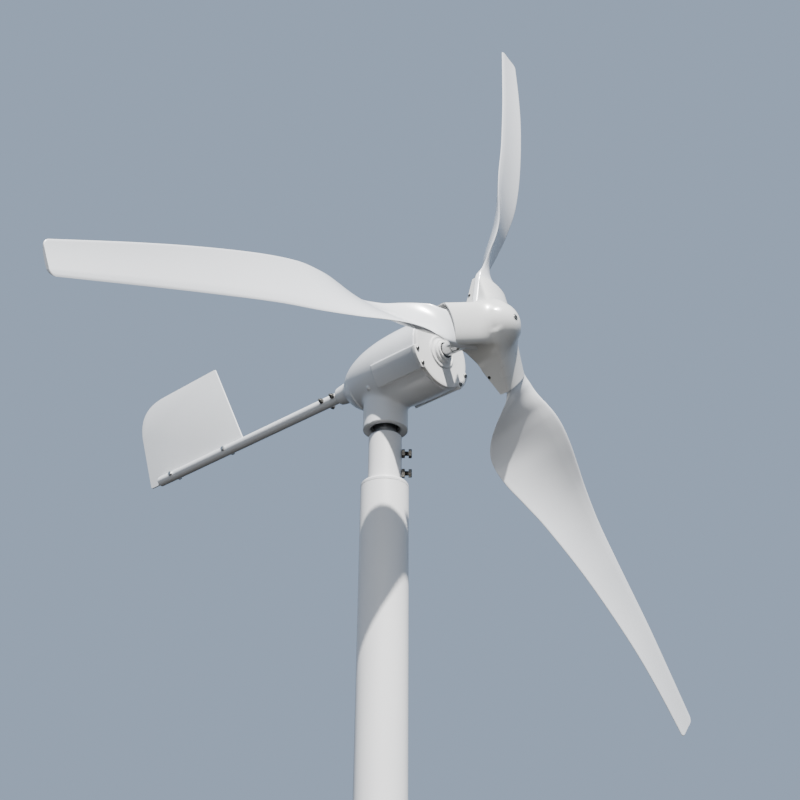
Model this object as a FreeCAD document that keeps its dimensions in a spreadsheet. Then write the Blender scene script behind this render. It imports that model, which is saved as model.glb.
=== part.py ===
import FreeCAD, Part
import math
import os
import types
import Sketcher

# Small horizontal-axis wind turbine on the top of a tubular mast. Millimetres, +Z up.
# Origin: centre of the mast's lower end. The head yaws about Z, the rotor turns about a
# level axis along Y and faces -Y, and the tail vane trails towards +Y.

DIMENSIONS = {
    # mast and the sleeve that carries the head
    "axis_height": 1000.0,
    "pole_radius": 38.05,
    "pole_wall": 3.0,
    "pole_length": 798.0,
    "collar_lip": 8.0,
    "collar_spigot": 30.0,
    "stub_radius": 24.15,
    "stub_wall": 3.25,
    "stub_stand_out": 70.0,
    "sleeve_radius": 26.8,
    "sleeve_bore": 24.3,
    "sleeve_roof": 8.0,
    "clamp_bolt_low": 19.0,
    "clamp_bolt_high": 54.0,
    "clamp_bolt_bearing": -47.0,
    # yaw spindle, heights below the rotor axis
    "neck_foot_drop": 110.0,
    "neck_top_drop": 92.0,
    "neck_radius": 17.7,
    "spindle_tail_radius": 14.9,
    "spindle_bore": 8.0,
    "spindle_thread": 12.0,
    "spindle_top_drop": 36.0,
    # yaw bearings
    "yaw_race_bore": 12.5,
    "yaw_race_outer": 26.0,
    "yaw_race_width": 15.0,
    "yaw_ball_radius": 3.9,
    "yaw_ball_pitch": 19.25,
    "yaw_upper_top_drop": 45.0,
    # slip rings and brushes
    "slip_core_radius": 9.0,
    "slip_core_bore": 5.0,
    "slip_core_length": 24.0,
    "slip_ring_radius": 13.0,
    "slip_ring_width": 4.0,
    "slip_ring_step": 7.0,
    # nacelle
    "nacelle_radius": 62.8,
    "nacelle_nose_radius": 61.0,
    "nacelle_tail": 147.0,
    "nacelle_centre": -61.0,
    "nacelle_front": -115.6,
    "bay_radius": 57.5,
    "bay_rear": -50.0,
    "rear_hollow_radius": 55.0,
    "rear_hollow_tail": 140.0,
    "housing_radius": 36.5,
    "housing_foot_drop": 99.0,
    "housing_top_drop": 34.0,
    "housing_mouth": 24.5,
    "pad_radius": 66.5,
    "pad_rear": -25.0,
    "pad_angle": 35.0,
    # front cover
    "cover_radius": 60.0,
    "cover_lobe_radius": 67.0,
    "cover_thick": 6.0,
    "cover_boss_foot": 28.0,
    "cover_boss_top": 20.5,
    "cover_boss_rise": 6.0,
    "cover_screw_circle": 60.5,
    "cover_screw_angle": 11.5,
    # generator
    "stator_front": -104.0,
    "stator_rear": -66.0,
    "yoke_inner": 50.0,
    "tooth_tip": 37.5,
    "tooth_width": 8.0,
    "rotor_core_radius": 29.0,
    "magnet_radius": 36.0,
    "magnet_angle": 26.0,
    # shaft, bearings and seal
    "shaft_radius": 8.5,
    "shaft_rear": -42.0,
    "hub_seat_radius": 8.0,
    "shaft_thread": 6.0,
    "shaft_front": -236.0,
    "shaft_tap": 3.0,
    "race_outer": 20.0,
    "race_width": 12.0,
    "shaft_ball_radius": 3.4,
    "shaft_ball_pitch": 14.25,
    "front_bearing_rear": -109.0,
    "rear_bearing_rear": -44.0,
    "seal_radius": 17.0,
    "spacer_radius": 11.0,
    # hub
    "hub_boss_rear": -180.0,
    "hub_plate_rear": -196.0,
    "blade_root_rear": -203.0,
    "blade_root_front": -211.5,
    "clamp_plate_front": -216.5,
    "hub_disc": 42.0,
    "hub_arm_width": 46.0,
    "hub_arm_reach": 64.0,
    "root_bolt_inner": 33.0,
    "root_bolt_outer": 54.0,
    "root_bolt_half_gap": 14.0,
    "first_blade_angle": 79.66,
    # blades
    "blade_plane": -171.4,
    "blade_tip": 748.0,
    "blade_root": 24.0,
    # nose cone
    "nose_tip": -271.0,
    "nose_rear": -190.0,
    "nose_skin": 2.0,
    "nose_dome_radius": 52.0,
    "nose_dome_depth": 63.0,
    "nose_arm_half": 31.5,
    "nose_arm_shift": 2.0,
    "nose_arm_end": 94.0,
    "nose_arm_set_back": 10.5,
    "nose_arm_slope": 0.47,
    # tail
    "boom_radius": 10.0,
    "boom_wall": 2.0,
    "boom_rise": 6.0,
    "boom_front": 107.0,
    "boom_rear": 610.0,
    "spigot_rear": 155.0,
    "tail_boss_front": 66.0,
    "tail_boss_foot": 21.0,
    "tail_boss_radius": 15.3,
    "boom_bolt_front": 117.0,
    "boom_bolt_rear": 143.0,
    "vane_thick": 3.0,
    "vane_front": 355.0,
    "vane_top": 207.0,
    "vane_top_front": 470.0,
    "vane_top_rear": 726.0,
    "vane_bottom_rear": 640.0,
    "vane_corner": 32.0,
    "vane_bolt_front": 409.0,
    "vane_bolt_rear": 568.0,
}

# Blade stations: radius, sideways place and forward place of the thick edge, chord, and
# pitch of the chord from the plane of rotation in degrees. The root is a flat tab that
# twists quickly into the wide inner blade, and then eases out to the square-cut tip.
BLADE_STATIONS = [
    (92.0, -24.0, 34.9, 57.0, 1.0),
    (105.0, -24.5, 39.5, 64.5, 10.5),
    (120.0, -25.5, 45.0, 76.0, 24.5),
    (135.0, -25.5, 50.0, 91.0, 35.5),
    (152.0, -25.0, 55.0, 108.0, 44.0),
    (172.0, -23.5, 60.0, 123.0, 48.5),
    (195.0, -21.0, 62.0, 128.0, 49.5),
    (225.0, -17.5, 60.0, 123.0, 46.0),
    (260.0, -14.5, 54.0, 111.0, 39.0),
    (300.0, -12.0, 46.0, 99.5, 29.5),
    (360.0, -8.0, 37.5, 89.0, 18.5),
    (440.0, -3.5, 32.0, 77.0, 12.0),
    (560.0, -2.0, 22.5, 64.0, 5.5),
    (650.0, -1.0, 13.0, 55.0, 3.0),
    (748.0, 0.0, 2.0, 45.5, 3.5),
]
BLADE_THICKNESS_ROOT = 8.5
BLADE_THICKNESS_TIP = 3.4
BLADE_CAMBER = 0.045
EDGE_HALF = 0.8

doc = FreeCAD.newDocument("small_wind_turbine")
Vector = FreeCAD.Vector


# ---------------------------------------------------------------- sheet and sizes

class Size:
    """A length that knows both its number and the sheet expression behind it."""

    def __init__(self, number, text):
        self.number = number
        self.text = text

    def __add__(self, other):
        return joined(self, "+", other, self.number + number_of(other))

    def __radd__(self, other):
        return joined(other, "+", self, number_of(other) + self.number)

    def __sub__(self, other):
        return joined(self, "-", other, self.number - number_of(other))

    def __rsub__(self, other):
        return joined(other, "-", self, number_of(other) - self.number)

    def __mul__(self, other):
        return joined(self, "*", other, self.number * number_of(other))

    def __rmul__(self, other):
        return joined(other, "*", self, number_of(other) * self.number)

    def __truediv__(self, other):
        return joined(self, "/", other, self.number / number_of(other))

    def __neg__(self):
        return joined(0.0, "-", self, -self.number)


def number_of(value):
    return value.number if isinstance(value, Size) else float(value)


def text_of(value):
    return value.text if isinstance(value, Size) else "(%s)" % float(value)


def joined(left, sign, right, number):
    return Size(number, "(%s %s %s)" % (text_of(left), sign, text_of(right)))


def make_sheet():
    sheet = doc.addObject("Spreadsheet::Sheet", "dims")
    for row, (name, number) in enumerate(DIMENSIONS.items(), 1):
        sheet.set("A%d" % row, name)
        sheet.set("B%d" % row, str(number))
        sheet.setAlias("B%d" % row, name)
    doc.recompute()
    cells = {name: Size(float(sheet.get(name)), "dims." + name) for name in DIMENSIONS}
    return types.SimpleNamespace(**cells)


def bind(thing, name, value):
    """Sets a property, and ties it to the sheet when the value comes from there."""
    if isinstance(value, Size):
        thing.setExpression(name, value.text)
    else:
        setattr(thing, name, value)


dim = make_sheet()
sleeve_foot = dim.pole_length + dim.collar_lip
sleeve_top = dim.axis_height - dim.neck_foot_drop
NODES = []


def place_at_axis(thing):
    """Puts a piece drawn about the rotor axis at its real height."""
    thing.setExpression("Placement.Base.z", "dims.axis_height")


def node(thing, label):
    """Names a finished piece and marks it for export."""
    thing.Label = label
    NODES.append(thing)
    return thing


# ---------------------------------------------------------------- PartDesign helpers

def new_body(label):
    body = doc.addObject("PartDesign::Body", label)
    return node(body, label)


def origin_part(body, role):
    for item in body.Origin.OriginFeatures:
        if item.Role == role:
            return item
    raise ValueError(role)


def new_sketch(body, role, name):
    sketch = body.newObject("Sketcher::SketchObject", name)
    sketch.AttachmentSupport = [(origin_part(body, role), "")]
    sketch.MapMode = "FlatFace"
    return sketch


def tie_corner(sketch, line, kind, axis, value):
    """Holds the start of a line at a distance from the sketch's origin."""
    number = number_of(value)
    if abs(number) < 1e-9:
        sketch.addConstraint(Sketcher.Constraint("PointOnObject", line, 1, axis))
        return
    index = sketch.addConstraint(Sketcher.Constraint(kind, -1, 1, line, 1, number))
    if isinstance(value, Size):
        sketch.setExpression("Constraints[%d]" % index, value.text)


def draw_outline(sketch, corners):
    """Draws one closed outline of straight lines from (across, along) corners."""
    first = sketch.GeometryCount
    count = len(corners)
    spots = [Vector(number_of(across), number_of(along), 0) for across, along in corners]
    for i in range(count):
        sketch.addGeometry(Part.LineSegment(spots[i], spots[(i + 1) % count]), False)
    for i in range(count):
        following = first + (i + 1) % count
        sketch.addConstraint(Sketcher.Constraint("Coincident", first + i, 2, following, 1))
    for i, (across, along) in enumerate(corners):
        tie_corner(sketch, first + i, "DistanceX", -2, across)
        tie_corner(sketch, first + i, "DistanceY", -1, along)


def turned(label, axis, *outlines):
    """A body turned about Y or Z from outlines of (radius, along the axis) corners."""
    body = new_body(label)
    role = "XY_Plane" if axis == "Y" else "XZ_Plane"
    sketch = new_sketch(body, role, label + "_profile")
    for outline in outlines:
        draw_outline(sketch, outline)
    turn = body.newObject("PartDesign::Revolution", label + "_turn")
    turn.Profile = sketch
    turn.ReferenceAxis = (sketch, ["V_Axis"])
    turn.Angle = 360.0
    body.Tip = turn
    return body


def ring_outline(inner, outer, low, high):
    return [(inner, low), (outer, low), (outer, high), (inner, high)]


ALONG_Y = FreeCAD.Rotation(Vector(1, 0, 0), -90)
ALONG_X = FreeCAD.Rotation(Vector(0, 1, 0), 90)
UPRIGHT = FreeCAD.Rotation()


def primitive(body, kind, name, base, rotation, **sizes):
    """Adds a PartDesign primitive whose own Z runs along the rotated axis."""
    feature = body.newObject("PartDesign::" + kind, name)
    for key, value in sizes.items():
        bind(feature, key, value)
    spot = [number_of(value) for value in base]
    feature.Placement = FreeCAD.Placement(Vector(*spot), rotation)
    for letter, value in zip("xyz", base):
        if isinstance(value, Size):
            feature.setExpression("Placement.Base." + letter, value.text)
    body.Tip = feature
    return feature


def pattern_about_y(body, name, originals, count):
    pattern = body.newObject("PartDesign::PolarPattern", name)
    pattern.Originals = originals
    pattern.Axis = (origin_part(body, "Y_Axis"), [""])
    pattern.Angle = 360.0
    pattern.Occurrences = count
    body.Tip = pattern
    return pattern


# ---------------------------------------------------------------- Part helpers

def shape_object(kind, name, **sizes):
    thing = doc.addObject("Part::" + kind, name)
    for key, value in sizes.items():
        bind(thing, key, value)
    return thing


def cut(name, base, tool):
    return shape_object("Cut", name, Base=base, Tool=tool)


def fuse(name, base, tool):
    return shape_object("Fuse", name, Base=base, Tool=tool)


def aim(thing, base, direction, spin=0.0):
    """Stands a piece on a point with its own +Z along a direction."""
    turn = FreeCAD.Rotation(Vector(0, 0, 1), Vector(*direction))
    spin_turn = FreeCAD.Rotation(Vector(0, 0, 1), spin)
    spot = [number_of(value) for value in base]
    thing.Placement = FreeCAD.Placement(Vector(*spot), turn.multiply(spin_turn))
    return thing


def group(label, pieces):
    """Puts separate solids of one kind in a single node."""
    compound = doc.addObject("Part::Compound", label)
    compound.Links = pieces
    return node(compound, label)


def hex_prism(name, flats, thick):
    return shape_object("Prism", name, Polygon=6, Circumradius=flats / math.sqrt(3.0), Height=thick)


def hex_bolt(name, shank, length, flats, head):
    """Shank up from the origin, head just below it."""
    rod = shape_object("Cylinder", name + "_shank", Radius=shank, Height=length)
    cap = hex_prism(name + "_head", flats, head)
    cap.Placement.Base = Vector(0, 0, -head)
    return fuse(name, rod, cap)


def round_screw(name, shank, length, head_radius, head):
    rod = shape_object("Cylinder", name + "_shank", Radius=shank, Height=length)
    cap = shape_object("Cylinder", name + "_head", Radius=head_radius, Height=head)
    cap.Placement.Base = Vector(0, 0, -head)
    return fuse(name, rod, cap)


def hex_nut(name, bore, flats, thick):
    blank = hex_prism(name + "_blank", flats, thick)
    hole = shape_object("Cylinder", name + "_hole", Radius=bore, Height=thick)
    return cut(name, blank, hole)


def grooved_ring(name, inner, outer, width, groove, pitch):
    """One bearing race: a ring with a ball groove, its groove plane half way up."""
    blank = shape_object("Cylinder", name + "_blank", Radius=outer, Height=width)
    bore = shape_object("Cylinder", name + "_bore", Radius=inner, Height=width)
    track = shape_object("Torus", name + "_track", Radius1=pitch, Radius2=groove)
    track.Placement.Base = Vector(0, 0, number_of(width) / 2)
    return cut(name, cut(name + "_ring", blank, bore), track)


RACE_SHARE = 0.55
TRACK_CLEARANCE = 0.06


def bearing_set(prefix, feet, direction, bore, outer, width, ball, pitch, balls):
    """Outer races, inner races and balls of equal bearings, in three nodes."""
    outer_rings = []
    inner_rings = []
    spheres = []
    axis = Vector(*direction)
    turn = FreeCAD.Rotation(Vector(0, 0, 1), axis)
    for i, foot in enumerate(feet):
        name = "%s_%d" % (prefix, i + 1)
        lip = ball * RACE_SHARE
        ring = grooved_ring(name + "_outer", pitch + lip, outer, width, ball + TRACK_CLEARANCE, pitch)
        outer_rings.append(aim(ring, foot, direction))
        ring = grooved_ring(name + "_inner", bore, pitch - lip, width, ball + TRACK_CLEARANCE, pitch)
        inner_rings.append(aim(ring, foot, direction))
        centre = Vector(*[number_of(value) for value in foot]) + axis * (width.number / 2)
        for k in range(balls):
            angle = 2 * math.pi * k / balls
            reach = Vector(math.cos(angle), math.sin(angle), 0) * pitch.number
            sphere = shape_object("Sphere", "%s_ball_%d" % (name, k), Radius=ball)
            sphere.Placement.Base = centre + turn.multVec(reach)
            spheres.append(sphere)
    group(prefix + "_outer_races", outer_rings)
    group(prefix + "_inner_races", inner_rings)
    group(prefix + "_balls", spheres)


# ---------------------------------------------------------------- mast side

def make_mast():
    bore = dim.pole_radius - dim.pole_wall
    turned("mast_pole", "Z", ring_outline(bore, dim.pole_radius, 0.0, dim.pole_length))
    # The collar plugs the pole's mouth and holds the stub pipe on the mast's axis.
    turned("pole_top_collar", "Z", [
        (dim.stub_radius, dim.pole_length - dim.collar_spigot),
        (bore, dim.pole_length - dim.collar_spigot),
        (bore, dim.pole_length),
        (dim.pole_radius, dim.pole_length),
        (dim.pole_radius, sleeve_foot - 3.0),
        (dim.pole_radius - 3.0, sleeve_foot),
        (dim.stub_radius, sleeve_foot),
    ])
    turned("stub_pipe", "Z", ring_outline(
        dim.stub_radius - dim.stub_wall, dim.stub_radius,
        dim.pole_length - dim.collar_spigot, sleeve_foot + dim.stub_stand_out))


CLAMP_THREAD = 3.95
CLAMP_FLATS = 13.0
CLAMP_NUT = 5.0
CLAMP_HEAD = 5.3
CLAMP_HEAD_FACE = 37.5


def clamp_direction():
    angle = math.radians(dim.clamp_bolt_bearing.number)
    return (math.cos(angle), math.sin(angle), 0.0)


def make_sleeve():
    body = turned("mounting_sleeve", "Z", [
        (dim.sleeve_bore, sleeve_foot),
        (dim.sleeve_radius, sleeve_foot),
        (dim.sleeve_radius, sleeve_top - 1.5),
        (dim.sleeve_radius - 1.5, sleeve_top),
        (dim.spindle_tail_radius, sleeve_top),
        (dim.spindle_tail_radius, sleeve_top - dim.sleeve_roof),
        (dim.sleeve_bore, sleeve_top - dim.sleeve_roof),
    ])
    across = FreeCAD.Rotation(Vector(0, 0, 1), Vector(*clamp_direction()))
    for name, rise in (("low", dim.clamp_bolt_low), ("high", dim.clamp_bolt_high)):
        primitive(body, "SubtractiveCylinder", "clamp_hole_" + name, (0.0, 0.0, sleeve_foot + rise),
                  across, Radius=CLAMP_THREAD, Height=dim.sleeve_radius + 5.0)


def make_clamp_bolts():
    """Two hexagon set bolts with lock nuts press the sleeve on to the stub pipe."""
    out = clamp_direction()
    inward = tuple(-part for part in out)
    bolts = []
    nuts = []
    for i, rise in enumerate((dim.clamp_bolt_low, dim.clamp_bolt_high)):
        level = (sleeve_foot + rise).number
        face = CLAMP_HEAD_FACE
        length = face - dim.stub_radius.number
        bolt = hex_bolt("clamp_bolt_%d" % i, CLAMP_THREAD, length, CLAMP_FLATS, CLAMP_HEAD)
        bolts.append(aim(bolt, (out[0] * face, out[1] * face, level), inward, 20.0 * i))
        seat = dim.sleeve_radius.number
        nut = hex_nut("clamp_nut_%d" % i, CLAMP_THREAD, CLAMP_FLATS, CLAMP_NUT)
        nuts.append(aim(nut, (out[0] * seat, out[1] * seat, level), out, 15.0 * i))
    group("sleeve_clamp_bolts", bolts)
    group("sleeve_lock_nuts", nuts)


def yaw_bearing_feet():
    lower = -dim.neck_top_drop
    upper = -dim.yaw_upper_top_drop - dim.yaw_race_width
    return lower, upper


def make_spindle():
    lower, upper = yaw_bearing_feet()
    race_top = -dim.yaw_upper_top_drop
    foot = -dim.neck_foot_drop - dim.sleeve_roof
    top = -dim.spindle_top_drop
    body = turned("yaw_spindle", "Z", [
        (dim.spindle_bore, foot),
        (dim.spindle_tail_radius, foot),
        (dim.spindle_tail_radius, -dim.neck_foot_drop),
        (dim.neck_radius, -dim.neck_foot_drop),
        (dim.neck_radius, lower),
        (dim.yaw_race_bore, lower),
        (dim.yaw_race_bore, race_top),
        (dim.spindle_thread, race_top),
        (dim.spindle_thread, top),
        (dim.spindle_bore, top),
    ])
    place_at_axis(body)
    spacer_low = lower + dim.yaw_race_width
    inner_spacer = turned("yaw_inner_spacer", "Z", ring_outline(
        dim.yaw_race_bore, dim.yaw_race_bore + 3.5, spacer_low, upper))
    place_at_axis(inner_spacer)
    outer_spacer = turned("yaw_outer_spacer", "Z", ring_outline(
        dim.yaw_race_outer - 3.5, dim.yaw_race_outer, spacer_low, upper))
    place_at_axis(outer_spacer)
    retaining = turned("yaw_retaining_ring", "Z", ring_outline(
        dim.yaw_race_outer - 3.0, dim.yaw_race_outer + 1.0, race_top, race_top + 1.6))
    place_at_axis(retaining)
    feet = [(0.0, 0.0, dim.axis_height + lower), (0.0, 0.0, dim.axis_height + upper)]
    bearing_set("yaw_bearing", feet, (0, 0, 1), dim.yaw_race_bore, dim.yaw_race_outer,
                dim.yaw_race_width, dim.yaw_ball_radius, dim.yaw_ball_pitch, 9)
    nut = hex_nut("spindle_lock_nut", dim.spindle_thread, 31.0, 6.0)
    aim(nut, (0.0, 0.0, dim.axis_height + race_top), (0, 0, 1))
    node(nut, "spindle_lock_nut")


def make_slip_rings():
    foot = -dim.spindle_top_drop
    core = turned("slip_ring_core", "Z", ring_outline(
        dim.slip_core_bore, dim.slip_core_radius, foot, foot + dim.slip_core_length))
    place_at_axis(core)
    rings = []
    brushes = []
    for i in range(3):
        level = foot + 3.0 + dim.slip_ring_step * i
        rings.append(ring_outline(dim.slip_core_radius, dim.slip_ring_radius, level,
                                  level + dim.slip_ring_width))
        brush = shape_object("Box", "brush_%d" % i, Length=5.0, Width=14.0, Height=3.0)
        brush.Placement.Base = Vector(-2.5, dim.slip_ring_radius.number + 0.05,
                                      (dim.axis_height + level).number + 0.5)
        brushes.append(brush)
    place_at_axis(turned("slip_rings", "Z", *rings))
    group("carbon_brushes", brushes)
    holder = shape_object("Box", "brush_holder_block", Length=16.0, Width=8.0, Height=24.0)
    holder.Placement.Base = Vector(-8.0, 27.5, (dim.axis_height - dim.housing_top_drop).number)
    foot_box = shape_object("Box", "brush_holder_slots", Length=5.0, Width=8.0, Height=18.0)
    foot_box.Placement.Base = Vector(-2.5, 27.5, (dim.axis_height + foot).number + 3.5)
    node(cut("brush_holder", holder, foot_box), "brush_holder")


# ---------------------------------------------------------------- nacelle

def make_nacelle():
    body = new_body("nacelle_body")
    primitive(body, "AdditiveEllipsoid", "rear_egg", (0.0, dim.nacelle_centre, 0.0), ALONG_Y,
              Radius1=dim.nacelle_tail, Radius2=dim.nacelle_radius, Radius3=dim.nacelle_radius,
              Angle1=0.0, Angle2=90.0)
    primitive(body, "AdditiveCone", "front_barrel", (0.0, dim.nacelle_front, 0.0), ALONG_Y,
              Radius1=dim.nacelle_nose_radius, Radius2=dim.nacelle_radius,
              Height=dim.nacelle_centre - dim.nacelle_front)
    for angle in LOBE_ANGLES:
        primitive(body, "AdditiveCylinder", "screw_pad_%d" % angle, (0.0, dim.nacelle_front, 0.0),
                  lobe_turn(angle), Radius=dim.pad_radius, Angle=dim.pad_angle,
                  Height=dim.pad_rear - dim.nacelle_front)
    primitive(body, "AdditiveCylinder", "yaw_column", (0.0, 0.0, -dim.housing_foot_drop), UPRIGHT,
              Radius=dim.housing_radius, Height=dim.housing_foot_drop)
    primitive(body, "AdditiveCone", "tail_boss", (0.0, dim.tail_boss_front, dim.boom_rise), ALONG_Y,
              Radius1=dim.tail_boss_foot, Radius2=dim.tail_boss_radius,
              Height=dim.boom_front - dim.tail_boss_front)
    primitive(body, "AdditiveCylinder", "tail_spigot", (0.0, dim.boom_front, dim.boom_rise), ALONG_Y,
              Radius=dim.boom_radius - dim.boom_wall, Height=dim.spigot_rear - dim.boom_front)
    primitive(body, "SubtractiveCylinder", "generator_bay", (0.0, dim.nacelle_front, 0.0), ALONG_Y,
              Radius=dim.bay_radius, Height=dim.bay_rear - dim.nacelle_front)
    primitive(body, "SubtractiveEllipsoid", "rear_hollow", (0.0, dim.nacelle_centre, 0.0), ALONG_Y,
              Radius1=dim.rear_hollow_tail, Radius2=dim.rear_hollow_radius,
              Radius3=dim.rear_hollow_radius, Angle1=0.0, Angle2=90.0)
    primitive(body, "AdditiveCylinder", "yaw_tower", (0.0, 0.0, -dim.housing_foot_drop), UPRIGHT,
              Radius=dim.housing_radius, Height=dim.housing_foot_drop - dim.housing_top_drop)
    primitive(body, "SubtractiveCylinder", "housing_mouth", (0.0, 0.0, -dim.housing_foot_drop),
              UPRIGHT, Radius=dim.housing_mouth, Height=dim.housing_foot_drop)
    primitive(body, "SubtractiveCylinder", "yaw_bearing_seat", (0.0, 0.0, -dim.neck_top_drop),
              UPRIGHT, Radius=dim.yaw_race_outer, Height=dim.neck_top_drop)
    primitive(body, "SubtractiveCylinder", "ring_groove", (0.0, 0.0, -dim.yaw_upper_top_drop),
              UPRIGHT, Radius=dim.yaw_race_outer + 1.0, Height=1.6)
    for name, along in (("front", dim.boom_bolt_front), ("rear", dim.boom_bolt_rear)):
        primitive(body, "SubtractiveCylinder", "spigot_hole_" + name, (-20.0, along, dim.boom_rise),
                  ALONG_X, Radius=BOOM_BOLT, Height=40.0)
    for k, (across, up) in enumerate(cover_screw_spots()):
        primitive(body, "SubtractiveCylinder", "screw_hole_%d" % k, (across, dim.nacelle_front, up),
                  ALONG_Y, Radius=COVER_SCREW, Height=14.0)
    place_at_axis(body)


BOOM_BOLT = 2.5
COVER_SCREW = 1.95
LOBE_ANGLES = (90, 210, 330)


def lobe_turn(angle):
    """Turns a pie-shaped slice about Y so that it is centred on a lobe."""
    half = dim.pad_angle.number / 2
    return ALONG_Y.multiply(FreeCAD.Rotation(Vector(0, 0, 1), -angle - half))


def cover_screw_spots():
    """Two screws on each lobe: (across, up) from the rotor axis."""
    reach = dim.cover_screw_circle.number
    spots = []
    for lobe in LOBE_ANGLES:
        for side in (1.0, -1.0):
            angle = math.radians(lobe + side * dim.cover_screw_angle.number)
            spots.append((reach * math.cos(angle), reach * math.sin(angle)))
    return spots


def make_cover():
    front = dim.nacelle_front - dim.cover_thick
    boss_face = front - dim.cover_boss_rise
    bearing_front = dim.front_bearing_rear - dim.race_width
    body = turned("front_cover", "Y", [
        (dim.race_outer, dim.front_bearing_rear),
        (dim.race_outer + 5.0, dim.front_bearing_rear),
        (dim.race_outer + 5.0, dim.nacelle_front),
        (dim.cover_radius, dim.nacelle_front),
        (dim.cover_radius, front),
        (dim.cover_boss_foot, front),
        (dim.cover_boss_top, boss_face),
        (dim.seal_radius, boss_face),
        (dim.seal_radius, bearing_front),
        (dim.race_outer, bearing_front),
    ])
    for angle in LOBE_ANGLES:
        primitive(body, "AdditiveCylinder", "cover_lobe_%d" % angle, (0.0, front, 0.0), lobe_turn(angle),
                  Radius=dim.cover_lobe_radius, Angle=dim.pad_angle, Height=dim.cover_thick)
    primitive(body, "SubtractiveCylinder", "bearing_seat", (0.0, bearing_front, 0.0), ALONG_Y,
              Radius=dim.race_outer, Height=dim.race_width)
    primitive(body, "SubtractiveCylinder", "seal_seat", (0.0, boss_face - 5.0, 0.0), ALONG_Y,
              Radius=dim.seal_radius, Height=bearing_front - boss_face + 5.0)
    screws = []
    for k, (across, up) in enumerate(cover_screw_spots()):
        primitive(body, "SubtractiveCylinder", "cover_hole_%d" % k, (across, front - 3.0, up),
                  ALONG_Y, Radius=COVER_SCREW, Height=dim.cover_thick + 6.0)
        screw = round_screw("cover_screw_%d" % k, COVER_SCREW, 16.0, 3.6, 2.6)
        screws.append(aim(screw, (across, front, dim.axis_height + up), (0, 1, 0)))
    place_at_axis(body)
    group("cover_screws", screws)


# ---------------------------------------------------------------- generator and shaft

TEETH = 12
COIL_HALF = 8.8
COIL_GAP = 4.3


def make_stator():
    outer = dim.bay_radius - 0.05
    body = turned("stator_core", "Y", ring_outline(dim.yoke_inner, outer, dim.stator_front, dim.stator_rear))
    tooth = primitive(body, "AdditiveBox", "tooth",
                      (-dim.tooth_width / 2, dim.stator_front, dim.tooth_tip), UPRIGHT,
                      Length=dim.tooth_width, Width=dim.stator_rear - dim.stator_front,
                      Height=dim.yoke_inner - dim.tooth_tip + 1.0)
    pattern_about_y(body, "teeth", [tooth], TEETH)
    place_at_axis(body)
    coils = []
    axis_point = Vector(0, 0, dim.axis_height.number)
    for k in range(TEETH):
        outside = shape_object("Box", "coil_%d_outside" % k, Length=2 * COIL_HALF,
                               Width=dim.stator_rear - dim.stator_front + 12.0, Height=9.5)
        outside.Placement.Base = Vector(-COIL_HALF, dim.stator_front.number - 6.0, 39.5)
        inside = shape_object("Box", "coil_%d_inside" % k, Length=2 * COIL_GAP,
                              Width=dim.stator_rear - dim.stator_front + 1.0, Height=9.5)
        inside.Placement.Base = Vector(-COIL_GAP, dim.stator_front.number - 0.5, 39.5)
        coil = cut("coil_%d" % k, outside, inside)
        turn = FreeCAD.Rotation(Vector(0, 1, 0), 360.0 * k / TEETH)
        coil.Placement = FreeCAD.Placement(axis_point, turn)
        coils.append(coil)
    group("stator_windings", coils)


def make_magnet_rotor():
    front = dim.stator_front + 1.0
    rear = dim.stator_rear - 1.0
    place_at_axis(turned("magnet_rotor_core", "Y",
                         ring_outline(dim.shaft_radius, dim.rotor_core_radius, front, rear)))
    magnets = []
    for k in range(TEETH):
        outside = shape_object("Cylinder", "magnet_%d_outside" % k, Radius=dim.magnet_radius,
                               Angle=dim.magnet_angle, Height=rear - front - 2.0)
        inside = shape_object("Cylinder", "magnet_%d_inside" % k, Radius=dim.rotor_core_radius,
                              Height=rear - front - 2.0)
        magnet = cut("magnet_%d" % k, outside, inside)
        spot = (0.0, front + 1.0, dim.axis_height)
        magnets.append(aim(magnet, spot, (0, 1, 0), 360.0 * k / TEETH))
    group("rotor_magnets", magnets)


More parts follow.
